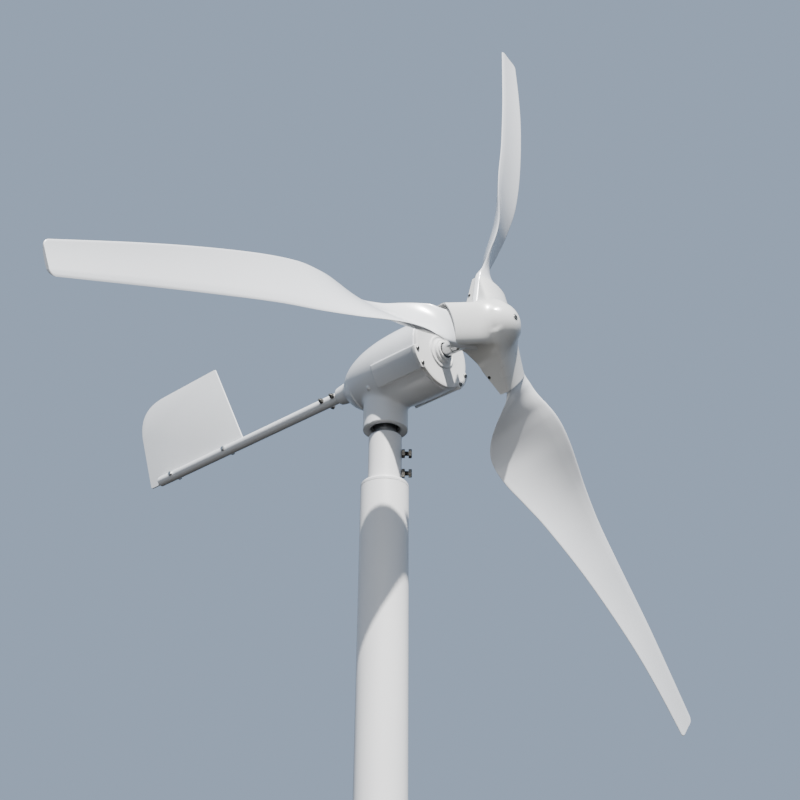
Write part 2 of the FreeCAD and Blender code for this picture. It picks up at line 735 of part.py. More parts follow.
def make_shaft():
    bearing_front = dim.front_bearing_rear - dim.race_width
    place_at_axis(turned("main_shaft", "Y", [
        (0.0, dim.shaft_rear),
        (dim.shaft_radius, dim.shaft_rear),
        (dim.shaft_radius, dim.hub_boss_rear),
        (dim.hub_seat_radius, dim.hub_boss_rear),
        (dim.hub_seat_radius, dim.clamp_plate_front),
        (dim.shaft_thread, dim.clamp_plate_front),
        (dim.shaft_thread, dim.shaft_front),
        (dim.shaft_tap, dim.shaft_front),
        (dim.shaft_tap, dim.shaft_front + 24.0),
        (0.0, dim.shaft_front + 24.0),
    ]))
    feet = [(0.0, dim.front_bearing_rear - dim.race_width, dim.axis_height),
            (0.0, dim.rear_bearing_rear - dim.race_width, dim.axis_height)]
    bearing_set("shaft_bearing", feet, (0, 1, 0), dim.shaft_radius, dim.race_outer,
                dim.race_width, dim.shaft_ball_radius, dim.shaft_ball_pitch, 8)
    plate_front = dim.rear_bearing_rear - dim.race_width
    place_at_axis(turned("rear_bearing_plate", "Y", [
        (dim.race_outer - 4.0, dim.rear_bearing_rear + 2.0),
        (dim.race_outer + 5.0, dim.rear_bearing_rear + 2.0),
        (dim.race_outer + 5.0, dim.bay_rear),
        (dim.bay_radius - 0.05, dim.bay_rear),
        (dim.bay_radius - 0.05, plate_front),
        (dim.race_outer, plate_front),
        (dim.race_outer, dim.rear_bearing_rear),
        (dim.race_outer - 4.0, dim.rear_bearing_rear),
    ]))
    boss_face = dim.nacelle_front - dim.cover_thick - dim.cover_boss_rise
    place_at_axis(turned("shaft_seal", "Y", ring_outline(
        dim.spacer_radius + 0.06, dim.seal_radius, boss_face - 4.0, bearing_front)))
    place_at_axis(turned("shaft_spacer", "Y", ring_outline(
        dim.shaft_radius, dim.spacer_radius, dim.hub_boss_rear, bearing_front)))


# ---------------------------------------------------------------- hub and blades

BLADE_COUNT = 3
ROOT_BOLT = 3.0


def blade_angles():
    step = 360.0 / BLADE_COUNT
    return [dim.first_blade_angle.number + step * k for k in range(BLADE_COUNT)]


def blade_turn(angle):
    """Turns a piece drawn along +X to a blade's angle, anticlockwise seen from the front."""
    return FreeCAD.Rotation(Vector(0, 1, 0), -angle)


def root_bolt_spots():
    """Each blade root has one inner and two outer bolts: (along the blade, across it)."""
    shift = dim.nose_arm_shift.number
    gap = dim.root_bolt_half_gap.number
    outer = dim.root_bolt_outer.number
    return [(dim.root_bolt_inner.number, shift), (outer, shift - gap), (outer, shift + gap)]


def make_hub_plates():
    for label, rear, front in (
            ("hub_plate", dim.hub_plate_rear, dim.blade_root_rear),
            ("hub_clamp_plate", dim.blade_root_front, dim.clamp_plate_front)):
        outline = ring_outline(dim.hub_seat_radius, dim.hub_disc, front, rear)
        if label == "hub_plate":
            boss = dim.hub_seat_radius + 8.0
            outline = [
                (dim.hub_seat_radius, front),
                (dim.hub_disc, front),
                (dim.hub_disc, rear),
                (boss, rear),
                (boss, dim.hub_boss_rear),
                (dim.hub_seat_radius, dim.hub_boss_rear),
            ]
        body = turned(label, "Y", outline)
        arm = primitive(body, "AdditiveBox", label + "_arm",
                        (dim.hub_seat_radius + 4.0, front, -dim.hub_arm_width / 2 - dim.nose_arm_shift),
                        UPRIGHT, Length=dim.hub_arm_reach - dim.hub_seat_radius - 4.0,
                        Width=rear - front, Height=dim.hub_arm_width)
        pattern_about_y(body, label + "_arms", [arm], BLADE_COUNT)
        for step in range(BLADE_COUNT):
            turn = blade_turn(360.0 / BLADE_COUNT * step)
            for k, (along, across) in enumerate(root_bolt_spots()):
                spot = turn.multVec(Vector(along, 0, -across))
                primitive(body, "SubtractiveCylinder", "%s_hole_%d%d" % (label, step, k),
                          (spot.x, front - 1.0, spot.z), ALONG_Y,
                          Radius=ROOT_BOLT, Height=rear - front + 2.0)
        body.Placement.Rotation = blade_turn(dim.first_blade_angle.number)
        place_at_axis(body)


def section_points(side_place, forward_place, chord, pitch, thick, camber):
    """Front and back faces of a section as (across, forward) points, thick edge first."""
    steps = (0.0, 0.015, 0.06, 0.2, 0.38, 0.6, 0.82, 1.0)
    angle = math.radians(pitch)
    back = (math.cos(angle), -math.sin(angle))
    normal = (math.sin(angle), math.cos(angle))
    faces = ([], [])
    for share in steps:
        body = 2.6 * math.sqrt(share) * (1 - share) + 0.55 * share * (1 - share)
        half = thick / 2 * body / 1.12 + EDGE_HALF * min(1.0, share * 6)
        bow = -4 * camber * chord * share * (1 - share)
        for face, sign in zip(faces, (1, -1)):
            lift = bow + sign * half
            face.append((side_place + back[0] * share * chord + normal[0] * lift,
                         forward_place + back[1] * share * chord + normal[1] * lift))
    return faces


def station_thickness(radius):
    """Thins evenly from the root tab to the tip."""
    root = BLADE_STATIONS[0][0]
    share = (radius - root) / (dim.blade_tip.number - root)
    return BLADE_THICKNESS_ROOT + (BLADE_THICKNESS_TIP - BLADE_THICKNESS_ROOT) * share ** 0.8


def station_at(radius):
    """Eases between the listed stations with a smooth curve through them."""
    rows = BLADE_STATIONS
    low = 0
    while low < len(rows) - 2 and rows[low + 1][0] <= radius:
        low += 1
    before, start, end, after = (rows[max(low - 1, 0)], rows[low], rows[low + 1],
                                 rows[min(low + 2, len(rows) - 1)])
    span = end[0] - start[0]
    share = (radius - start[0]) / span
    values = [radius]
    for column in range(1, 5):
        left = slope_between(before, end, column) * span
        right = slope_between(start, after, column) * span
        values.append((2 * share ** 3 - 3 * share ** 2 + 1) * start[column]
                      + (share ** 3 - 2 * share ** 2 + share) * left
                      + (3 * share ** 2 - 2 * share ** 3) * end[column]
                      + (share ** 3 - share ** 2) * right)
    return values


def slope_between(first, second, column):
    return (second[column] - first[column]) / (second[0] - first[0])


def wing_radii():
    """Sections close together in the tight inner twist, and further apart outboard."""
    radii = []
    radius = BLADE_STATIONS[0][0]
    while radius < dim.blade_tip.number - 8.0:
        radii.append(radius)
        radius += 7.0 + 0.055 * (radius - BLADE_STATIONS[0][0])
    return radii + [dim.blade_tip.number]


def blade_wing():
    """The twisted wing, lofted along +X through its sections."""
    wires = []
    for radius, side_place, forward_place, chord, pitch in map(station_at, wing_radii()):
        camber = BLADE_CAMBER * min(1.0, (radius - BLADE_STATIONS[0][0]) / 60.0)
        thick = station_thickness(radius)
        edges = []
        for face in section_points(side_place, forward_place, chord, pitch, thick, camber):
            spots = [Vector(radius, dim.blade_plane.number - ahead, -across) for across, ahead in face]
            curve = Part.BSplineCurve()
            curve.interpolate(Points=spots)
            edges.append(curve.toShape())
        edges.append(Part.makeLine(edges[0].lastVertex().Point, edges[1].lastVertex().Point))
        wires.append(Part.Wire([edges[0], edges[2], edges[1]]))
    return Part.makeLoft(wires, True, True)


def make_blades():
    """Each blade is a lofted wing with a flat bolted tab under the nose cone."""
    wing = blade_wing()
    root_radius = BLADE_STATIONS[0][0]
    low = dim.blade_root_front.number
    deep = dim.blade_root_rear.number - low
    edge = BLADE_STATIONS[0][1]
    tab = Part.makeBox(root_radius + 1.0 - dim.blade_root.number, deep, 50.0,
                       Vector(dim.blade_root.number, low, -(edge + 1.0) - 50.0))
    shape = wing.fuse(tab)
    for along, across in root_bolt_spots():
        hole = Part.makeCylinder(ROOT_BOLT, deep + 2.0, Vector(along, low - 1.0, -across), Vector(0, 1, 0))
        shape = shape.cut(hole)
    shape = shape.removeSplitter()
    if shape.ShapeType == "Compound":
        shape = shape.Solids[0]
    for k, angle in enumerate(blade_angles()):
        label = "blade_%d" % (k + 1)
        blade = doc.addObject("Part::Feature", label)
        blade.Shape = shape
        blade.Placement = FreeCAD.Placement(Vector(0, 0, dim.axis_height.number), blade_turn(angle))
        node(blade, label)


def make_blade_fasteners():
    bolts = []
    nuts = []
    grip = dim.hub_plate_rear - dim.clamp_plate_front
    for angle in blade_angles():
        turn = blade_turn(angle)
        for along, across in root_bolt_spots():
            spot = turn.multVec(Vector(along, 0, -across))
            level = dim.axis_height.number + spot.z
            bolt = hex_bolt("root_bolt_%d" % len(bolts), ROOT_BOLT, grip + 7.0, 10.0, 4.0)
            bolts.append(aim(bolt, (spot.x, dim.clamp_plate_front, level), (0, 1, 0)))
            nut = hex_nut("root_nut_%d" % len(nuts), ROOT_BOLT, 10.0, 5.0)
            nuts.append(aim(nut, (spot.x, dim.hub_plate_rear, level), (0, 1, 0)))
    group("blade_bolts", bolts)
    group("blade_nuts", nuts)


def make_shaft_fasteners():
    face = dim.clamp_plate_front
    place_at_axis(turned("shaft_washer", "Y", ring_outline(dim.shaft_thread, 12.0, face - 2.5, face)))
    nut = hex_nut("shaft_nut", dim.shaft_thread, 18.0, 10.0)
    aim(nut, (0.0, face - 2.5, dim.axis_height), (0, -1, 0))
    node(nut, "shaft_nut")


# ---------------------------------------------------------------- nose cone

def smooth_max(first, second, power=8.0):
    return (first ** power + second ** power) ** (1.0 / power)


def arm_half_width(behind, half):
    """Half width of an arm at a depth behind its front face, with a rounded shoulder."""
    shoulder = 9.0
    if behind <= 0:
        return 0.0
    if behind >= shoulder:
        return half + 0.06 * (behind - shoulder)
    rise = 1 - behind / shoulder
    return half * math.sqrt(1 - rise * rise)


def nose_outline_radius(angle, depth, inset):
    """Reach of the three-armed outline in a direction, at a depth behind the tip."""
    depth = depth - inset
    dome = dim.nose_dome_radius.number - inset
    bulge = min(depth / (dim.nose_dome_depth.number - inset), 1.0)
    best = dome * math.sqrt(max(1 - (1 - bulge) ** 2, 1e-6))
    half = dim.nose_arm_half.number - inset
    shift = dim.nose_arm_shift.number
    for blade in blade_angles():
        lean = math.radians(angle - blade)
        if math.cos(lean) < 0.2:
            continue
        low, high = 0.0, 112.0 / math.cos(lean)
        for _ in range(30):
            middle = (low + high) / 2
            along = middle * math.cos(lean)
            across = abs(-middle * math.sin(lean) - shift)
            face = dim.nose_arm_set_back.number + dim.nose_arm_slope.number * along
            if across < arm_half_width(depth - face, half):
                low = middle
            else:
                high = middle
        best = smooth_max(best, max(low, 1e-3))
    return best


def nose_body(inset, depths):
    wires = []
    for depth in depths:
        spots = []
        for k in range(90):
            angle = 4.0 * k
            reach = nose_outline_radius(angle, depth, inset)
            spots.append(Vector(reach * math.cos(math.radians(angle)), dim.nose_tip.number + depth,
                                reach * math.sin(math.radians(angle))))
        curve = Part.BSplineCurve()
        curve.interpolate(Points=spots, PeriodicFlag=True)
        wires.append(Part.Wire([curve.toShape()]))
    return Part.makeLoft(wires, True, True)


def make_nose_cone():
    """A thin moulded shell: a blunt dome that runs out into three arms over the roots."""
    skin = dim.nose_skin.number
    full = dim.nose_rear.number - dim.nose_tip.number
    outer = nose_body(0.0, (0.6, 3.0, 8.0, 16.0, 26.0, 36.0, 46.0, 56.0, 68.0, full))
    inner = nose_body(skin, (skin + 0.6, skin + 4.0, 12.0, 20.0, 29.0, 39.0, 49.0, 59.0, 70.0, full + 4.0))
    shape = outer.cut(inner)
    reach = dim.nose_arm_end.number
    for angle in blade_angles():
        slab = Part.makeBox(40.0, 200.0, 300.0, Vector(reach, -320.0, -150.0))
        slab.Placement = FreeCAD.Placement(Vector(0, 0, 0), blade_turn(angle))
        shape = shape.cut(slab)
    hole = Part.makeCylinder(3.1, 40.0, Vector(0, dim.nose_tip.number - 5.0, 0), Vector(0, 1, 0))
    shape = shape.cut(hole)
    if shape.ShapeType == "Compound":
        shape = max(shape.Solids, key=lambda solid: solid.Volume)
    cone = doc.addObject("Part::Feature", "nose_cone")
    cone.Shape = shape
    cone.Placement = FreeCAD.Placement(Vector(0, 0, dim.axis_height.number), FreeCAD.Rotation())
    node(cone, "nose_cone")


def make_nose_screw():
    tip = dim.nose_tip.number
    screw = round_screw("nose_screw", dim.shaft_tap, 50.0, 5.0, 1.6)
    aim(screw, (0.0, tip + 0.5, dim.axis_height), (0, 1, 0))
    node(screw, "nose_screw")


# ---------------------------------------------------------------- tail

def make_boom():
    body = turned("tail_boom", "Y", ring_outline(
        dim.boom_radius - dim.boom_wall, dim.boom_radius, dim.boom_front, dim.boom_rear))
    primitive(body, "SubtractiveBox", "vane_slot", (-dim.vane_thick / 2, dim.vane_front, -7.0), UPRIGHT,
              Length=dim.vane_thick, Width=dim.boom_rear - dim.vane_front + 5.0,
              Height=dim.boom_radius + 12.0)
    for name, along in (("a", dim.boom_bolt_front), ("b", dim.boom_bolt_rear),
                        ("c", dim.vane_bolt_front), ("d", dim.vane_bolt_rear)):
        primitive(body, "SubtractiveCylinder", "cross_hole_" + name, (-20.0, along, 0.0), ALONG_X,
                  Radius=BOOM_BOLT, Height=40.0)
    body.setExpression("Placement.Base.z", "dims.axis_height + dims.boom_rise")


def edges_near(shape, spots):
    """Names of the edges whose middle lies at one of the spots."""
    found = []
    for index, edge in enumerate(shape.Edges, 1):
        middle = edge.BoundBox.Center
        if any((middle - spot).Length < 1.0 for spot in spots):
            found.append("Edge%d" % index)
    return found


def make_vane():
    body = new_body("tail_vane")
    sketch = new_sketch(body, "YZ_Plane", "vane_outline")
    draw_outline(sketch, [
        (dim.vane_front, dim.boom_rise - 7.0),
        (dim.vane_top_front, dim.vane_top),
        (dim.vane_top_rear, dim.vane_top),
        (dim.vane_bottom_rear, dim.boom_rise - 7.0),
    ])
    plate = body.newObject("PartDesign::Pad", "vane_plate")
    plate.Profile = sketch
    bind(plate, "Length", dim.vane_thick)
    plate.Midplane = True
    body.Tip = plate
    for name, along in (("a", dim.vane_bolt_front), ("b", dim.vane_bolt_rear)):
        primitive(body, "SubtractiveCylinder", "vane_hole_" + name, (-20.0, along, dim.boom_rise),
                  ALONG_X, Radius=BOOM_BOLT, Height=40.0)
    doc.recompute()
    corner = Vector(0, dim.vane_top_rear.number, dim.vane_top.number)
    drilled = body.Tip
    rounding = body.newObject("PartDesign::Fillet", "vane_rounding")
    rounding.Base = (drilled, edges_near(drilled.Shape, [corner]))
    bind(rounding, "Radius", dim.vane_corner)
    body.Tip = rounding
    place_at_axis(body)


TAIL_FLATS = 8.0
TAIL_HEAD = 3.8
TAIL_NUT = 4.4


def make_tail_fasteners():
    level = (dim.axis_height + dim.boom_rise).number
    seat = dim.boom_radius.number
    # The boom's bolts have a nut on both sides, and their heads stand off on the far side.
    for label, side, stand_off, reach in (("boom", 1, TAIL_NUT, 33.0), ("vane", -1, 0.0, 27.0)):
        bolts = []
        nuts = []
        spots = ((dim.boom_bolt_front, dim.boom_bolt_rear) if label == "boom"
                 else (dim.vane_bolt_front, dim.vane_bolt_rear))
        for i, along in enumerate(spots):
            bolt = hex_bolt("%s_bolt_%d" % (label, i), BOOM_BOLT, reach, TAIL_FLATS, TAIL_HEAD)
            bolts.append(aim(bolt, (side * (seat + stand_off), along, level), (-side, 0, 0)))
            nut = hex_nut("%s_nut_%d" % (label, i), BOOM_BOLT, TAIL_FLATS, TAIL_NUT)
            nuts.append(aim(nut, (-side * seat, along, level), (-side, 0, 0), 15.0))
            if stand_off:
                inner = hex_nut("%s_inner_nut_%d" % (label, i), BOOM_BOLT, TAIL_FLATS, TAIL_NUT)
                nuts.append(aim(inner, (side * seat, along, level), (side, 0, 0), 15.0))
        group(label + "_bolts", bolts)
        group(label + "_nuts", nuts)


# ---------------------------------------------------------------- build, test, write

def build():
    make_mast()
    make_sleeve()
    make_clamp_bolts()
    make_spindle()
    make_slip_rings()
    make_nacelle()
    make_cover()
    make_stator()
    make_magnet_rotor()
    make_shaft()
    make_hub_plates()
    make_blades()
    make_blade_fasteners()
    make_shaft_fasteners()
    make_nose_cone()
    make_nose_screw()
    make_boom()
    make_vane()
    make_tail_fasteners()
    doc.recompute()


def check():
    for thing in doc.Objects:
        if "Invalid" in thing.State or "Error" in thing.State:
            raise RuntimeError("%s did not compute: %s" % (thing.Name, thing.State))
    for thing in NODES:
        if thing.Shape.isNull() or not thing.Shape.isValid():
            raise RuntimeError("%s has no valid shape" % thing.Label)


def write():
    os.makedirs("parts", exist_ok=True)
    for thing in NODES:
        thing.Shape.exportStep("parts/%s.step" % thing.Label)
        box = thing.Shape.BoundBox
        print("%-28s %2d solids %10.0f mm3  x %.1f..%.1f y %.1f..%.1f z %.1f..%.1f" % (
            thing.Label, len(thing.Shape.Solids), thing.Shape.Volume,
            box.XMin, box.XMax, box.YMin, box.YMax, box.ZMin, box.ZMax))


build()
check()
write()
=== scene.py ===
import math
import bmesh
import bpy
import numpy as np
from mathutils import Matrix, Vector


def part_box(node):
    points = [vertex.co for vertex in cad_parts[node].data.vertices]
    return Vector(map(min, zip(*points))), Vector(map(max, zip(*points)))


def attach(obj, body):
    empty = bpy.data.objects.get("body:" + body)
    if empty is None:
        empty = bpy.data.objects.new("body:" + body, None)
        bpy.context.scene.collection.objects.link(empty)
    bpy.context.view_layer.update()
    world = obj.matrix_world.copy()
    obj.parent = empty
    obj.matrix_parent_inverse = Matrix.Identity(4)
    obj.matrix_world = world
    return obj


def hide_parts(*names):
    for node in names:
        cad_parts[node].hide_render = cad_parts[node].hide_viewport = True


# Small wind turbine on a tubular mast. The CAD frame is in metres, +Z up; the rotor turns
# about a level line along Y and faces -Y. Shape sizes below are in millimetres.

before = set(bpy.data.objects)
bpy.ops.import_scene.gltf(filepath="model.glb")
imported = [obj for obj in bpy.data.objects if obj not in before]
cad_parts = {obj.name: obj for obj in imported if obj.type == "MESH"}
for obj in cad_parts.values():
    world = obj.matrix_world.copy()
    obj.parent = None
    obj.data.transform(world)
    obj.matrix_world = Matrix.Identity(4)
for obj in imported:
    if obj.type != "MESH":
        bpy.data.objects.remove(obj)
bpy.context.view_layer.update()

MM = 0.001


def middle(node):
    low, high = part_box(node)
    return [(a + b) / 2 for a, b in zip(low, high)]


def low_mm(node, axis):
    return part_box(node)[0][axis] / MM


def high_mm(node, axis):
    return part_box(node)[1][axis] / MM


AXIS_Z = middle("main_shaft")[2] / MM
NOSE_REAR = -190.0
COVER_FRONT = low_mm("front_cover", 1)
COVER_PLATE = -121.6
COVER_REAR = -115.6
COLLAR_TOP = high_mm("pole_top_collar", 2)
POLE_TOP = high_mm("mast_pole", 2)
POLE_RADIUS = high_mm("mast_pole", 0)
SLEEVE_TOP = high_mm("mounting_sleeve", 2)
SLEEVE_RADIUS = high_mm("mounting_sleeve", 0)
BOOM_FRONT = low_mm("tail_boom", 1)
BOOM_REAR = high_mm("tail_boom", 1)
BOOM_RADIUS = high_mm("tail_boom", 0)
BOOM_Z = middle("tail_boom")[2] / MM
VANE_FRONT = low_mm("tail_vane", 1)
FIRST_BLADE = 79.66
BLADE_ANGLES = [FIRST_BLADE + 120.0 * k for k in range(3)]
LOBE_ANGLES = (90.0, 210.0, 330.0)


# ---------------------------------------------------------------- materials

def new_tree(name):
    made = bpy.data.materials.new(name)
    made.use_nodes = True
    tree = made.node_tree
    shader = tree.nodes["Principled BSDF"]
    return made, tree, shader


def noise(tree, source, scale, detail, stretch):
    """Noise over object coordinates, stretched along an axis if asked."""
    if stretch:
        mapping = tree.nodes.new("ShaderNodeMapping")
        mapping.inputs["Scale"].default_value = stretch
        tree.links.new(source, mapping.inputs["Vector"])
        source = mapping.outputs["Vector"]
    field = tree.nodes.new("ShaderNodeTexNoise")
    field.inputs["Scale"].default_value = scale
    field.inputs["Detail"].default_value = detail
    tree.links.new(source, field.inputs["Vector"])
    return field.outputs["Fac"]


def ramp(tree, source, low, high, first, second):
    """A colour that goes from first to second as source goes from low to high."""
    node = tree.nodes.new("ShaderNodeValToRGB")
    node.color_ramp.elements[0].position = low
    node.color_ramp.elements[0].color = (*first, 1.0)
    node.color_ramp.elements[1].position = high
    node.color_ramp.elements[1].color = (*second, 1.0)
    tree.links.new(source, node.inputs["Fac"])
    return node.outputs["Color"]


def span(tree, source, low, high):
    """A value spread from low to high over a source that goes from 0 to 1."""
    node = tree.nodes.new("ShaderNodeMapRange")
    node.inputs["To Min"].default_value = low
    node.inputs["To Max"].default_value = high
    tree.links.new(source, node.inputs["Value"])
    return node.outputs["Result"]


def finish_material(name, base, second, rough, metal=0.0, coat=0.0, patch=9.0, grain=900.0,
                    bump=0.05, depth=0.0004, stretch=None, patch_stretch=None, edges=None):
    """A finish with broad tone patches, uneven gloss and a fine surface grain."""
    made, tree, shader = new_tree(name)
    coords = tree.nodes.new("ShaderNodeTexCoord").outputs["Object"]
    tone = noise(tree, coords, patch, 5.0, patch_stretch)
    colour = ramp(tree, tone, 0.35, 0.7, base, second)
    if edges:
        geometry = tree.nodes.new("ShaderNodeNewGeometry")
        worn = ramp(tree, geometry.outputs["Pointiness"], 0.52, 0.6, (0.0, 0.0, 0.0), (1.0, 1.0, 1.0))
        mix = tree.nodes.new("ShaderNodeMix")
        mix.data_type = "RGBA"
        tree.links.new(worn, mix.inputs["Factor"])
        tree.links.new(colour, mix.inputs["A"])
        mix.inputs["B"].default_value = (*edges, 1.0)
        colour = mix.outputs["Result"]
    tree.links.new(colour, shader.inputs["Base Color"])
    gloss = noise(tree, coords, patch * 3.1, 6.0, patch_stretch)
    tree.links.new(span(tree, gloss, rough * 0.82, rough * 1.2), shader.inputs["Roughness"])
    shader.inputs["Metallic"].default_value = metal
    shader.inputs["Coat Weight"].default_value = coat
    shader.inputs["Coat Roughness"].default_value = 0.12
    relief = tree.nodes.new("ShaderNodeBump")
    relief.inputs["Strength"].default_value = bump
    relief.inputs["Distance"].default_value = depth
    tree.links.new(noise(tree, coords, grain, 3.0, stretch), relief.inputs["Height"])
    tree.links.new(relief.outputs["Normal"], shader.inputs["Normal"])
    return made


WHITE = (0.80, 0.815, 0.83)
WHITE_2 = (0.765, 0.78, 0.80)
paint = finish_material("gloss_white_paint", WHITE, WHITE_2, 0.30, coat=0.25, patch=6.0, grain=420.0,
                        bump=0.12, depth=0.0003)
pole_paint = finish_material("mast_white_paint", (0.80, 0.80, 0.80), (0.755, 0.755, 0.76), 0.36, coat=0.15,
                             patch=5.0, grain=260.0, bump=0.16, depth=0.0004,
                             patch_stretch=(3.0, 3.0, 0.5))
powder = finish_material("textured_powder_white", (0.82, 0.82, 0.81), (0.77, 0.77, 0.765), 0.5, patch=30.0,
                         grain=1100.0, bump=0.45, depth=0.0005)
gelcoat = finish_material("blade_gelcoat", (0.84, 0.855, 0.875), (0.81, 0.825, 0.85), 0.24, coat=0.4,
                          patch=3.0, grain=700.0, bump=0.04, depth=0.0002)
shell = finish_material("nose_shell_moulding", (0.80, 0.80, 0.785), (0.76, 0.76, 0.74), 0.27, coat=0.35,
                        patch=7.0, grain=520.0, bump=0.06, depth=0.0002)
sheet_paint = finish_material("vane_white_paint", (0.77, 0.785, 0.80), (0.74, 0.755, 0.77), 0.38,
                              patch=8.0, grain=380.0, bump=0.14, depth=0.0003)
dark_steel = finish_material("black_oxide_steel", (0.035, 0.036, 0.034), (0.075, 0.07, 0.06), 0.42,
                             metal=0.7, patch=160.0, grain=900.0, bump=0.25, edges=(0.22, 0.21, 0.19))
zinc = finish_material("zinc_plated_steel", (0.58, 0.58, 0.56), (0.47, 0.47, 0.45), 0.34, metal=1.0,
                       patch=120.0, grain=1400.0, bump=0.15, edges=(0.75, 0.75, 0.74))
zinc_dull = finish_material("dulled_zinc", (0.30, 0.30, 0.29), (0.20, 0.20, 0.19), 0.42, metal=0.9,
                            patch=200.0, grain=1400.0, bump=0.2, edges=(0.5, 0.5, 0.48))
alloy = finish_material("machined_alloy", (0.60, 0.61, 0.62), (0.50, 0.51, 0.52), 0.36, metal=1.0,
                        patch=40.0, grain=260.0, bump=0.25, depth=0.0002, stretch=(1.0, 14.0, 1.0))
ground = finish_material("ground_steel", (0.44, 0.45, 0.46), (0.36, 0.365, 0.37), 0.30, metal=1.0,
                         patch=60.0, grain=420.0, bump=0.2, stretch=(1.0, 1.0, 10.0))
bearing = finish_material("bearing_steel", (0.66, 0.66, 0.66), (0.60, 0.60, 0.61), 0.14, metal=1.0,
                          patch=80.0, bump=0.05)
iron = finish_material("core_iron", (0.16, 0.16, 0.165), (0.11, 0.11, 0.11), 0.5, metal=0.8, patch=50.0,
                       grain=2000.0, bump=0.4, stretch=(0.05, 1.0, 0.05))
copper = finish_material("enamelled_copper", (0.56, 0.22, 0.09), (0.44, 0.15, 0.06), 0.3, metal=0.9,
                         patch=200.0, grain=900.0, bump=0.5, stretch=(1.0, 0.1, 1.0))
brass = finish_material("ring_brass", (0.62, 0.46, 0.18), (0.52, 0.36, 0.13), 0.25, metal=1.0, patch=90.0)
magnet = finish_material("nickel_magnet", (0.52, 0.51, 0.49), (0.44, 0.43, 0.42), 0.2, metal=1.0, patch=70.0)
carbon = finish_material("brush_carbon", (0.03, 0.03, 0.032), (0.05, 0.05, 0.05), 0.6, patch=300.0, bump=0.4)
rubber = finish_material("seal_rubber", (0.022, 0.022, 0.023), (0.035, 0.035, 0.035), 0.62, patch=120.0,
                         bump=0.3)
insulator = finish_material("moulded_insulator", (0.10, 0.085, 0.07), (0.13, 0.11, 0.09), 0.5, patch=90.0)

SLOT_MATERIALS = {
    "white_paint": paint, "white_moulding": gelcoat, "nose_shell": shell, "machined_alloy": alloy,
    "dark_steel": dark_steel, "zinc_steel": zinc, "ground_steel": ground, "bearing_ball": bearing,
    "core_iron": iron, "copper_winding": copper, "brass_ring": brass, "magnet": magnet,
    "carbon": carbon, "seal_rubber": rubber, "insulator": insulator,
}


# ---------------------------------------------------------------- mesh helpers

def about_axis(points):
    """Millimetres about the rotor axis to row-frame metres."""
    points = np.asarray(points, float) * MM
    points[:, 2] += AXIS_Z * MM
    return points


def from_foot(points):
    """Millimetres above the mast's foot to row-frame metres."""
    return np.asarray(points, float) * MM


def finished(name, mesh, material, body, nodes=(), sharp=38.0):
    """Shades a mesh, gives it its finish and rides it on its body."""
    edit = bmesh.new()
    edit.from_mesh(mesh)
    bmesh.ops.remove_doubles(edit, verts=edit.verts, dist=1e-6)
    bmesh.ops.dissolve_degenerate(edit, edges=edit.edges, dist=1e-7)
    bmesh.ops.recalc_face_normals(edit, faces=edit.faces)
    limit = math.radians(sharp)
    for face in edit.faces:
        face.smooth = True
    for edge in edit.edges:
        edge.smooth = len(edge.link_faces) == 2 and edge.calc_face_angle(0.0) < limit
    edit.to_mesh(mesh)
    edit.free()
    mesh.materials.clear()
    mesh.materials.append(material)
    thing = bpy.data.objects.new(name, mesh)
    bpy.context.scene.collection.objects.link(thing)
    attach(thing, body)
    if nodes:
        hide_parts(*nodes)
    return thing


def mesh_of(name, parts):
    """One mesh from (points, faces) parts."""
    points = []
    faces = []
    for spots, polygons in parts:
        start = len(points)
        points.extend(tuple(float(c) for c in spot) for spot in spots)
        faces.extend([tuple(int(i) + start for i in polygon) for polygon in polygons])
    mesh = bpy.data.meshes.new(name)
    mesh.from_pydata(points, [], faces)
    mesh.validate()
    return mesh


def rounded(corners, steps=5):
    """An outline of (across, along, corner radius) with its corners turned into arcs."""
    outline = []
    count = len(corners)
    for i, (across, along, radius) in enumerate(corners):
        here = np.array((across, along), float)
        back = np.array(corners[i - 1][:2], float) - here
        ahead = np.array(corners[(i + 1) % count][:2], float) - here
        back_length = np.linalg.norm(back)
        ahead_length = np.linalg.norm(ahead)
        if radius <= 0 or back_length < 1e-9 or ahead_length < 1e-9:
            outline.append(tuple(here))
            continue
        back = back / back_length
        ahead = ahead / ahead_length
        turn = math.acos(max(-1.0, min(1.0, float(back @ ahead))))
        reach = min(radius / math.tan(turn / 2), 0.49 * back_length, 0.49 * ahead_length)
        first = here + back * reach
        last = here + ahead * reach
        for k in range(steps + 1):
            t = k / steps
            outline.append(tuple((1 - t) ** 2 * first + 2 * t * (1 - t) * here + t ** 2 * last))
    return outline


def lathe(corners, axis, segments, closed=True):
    """Points and faces of an outline turned about Y or Z."""
    outline = rounded(corners)
    spots = []
    for k in range(segments):
        angle = 2 * math.pi * k / segments
        for across, along in outline:
            if axis == "Z":
                spots.append((across * math.cos(angle), across * math.sin(angle), along))
            else:
                spots.append((across * math.cos(angle), along, across * math.sin(angle)))
    count = len(outline)
    faces = []
    for k in range(segments):
        following = (k + 1) % segments
        for i in range(count if closed else count - 1):
            j = (i + 1) % count
            faces.append((k * count + i, k * count + j, following * count + j, following * count + i))
    return spots, faces


def ring(inner, outer, low, high, edge):
    return [(inner, low, edge), (outer, low, edge), (outer, high, edge), (inner, high, edge)]


def aimed(part, base, direction, spin=0.0):
    """Stands a part drawn along +Z on a base point, along a direction."""
    turn = Vector(direction).to_track_quat("Z", "Y").to_matrix() @ Matrix.Rotation(spin, 3, "Z")
    turn = np.array(turn)
    spots, faces = part
    return np.asarray(spots, float) @ turn.T + np.asarray(base, float), faces


HEXAGON_POINTS = 48


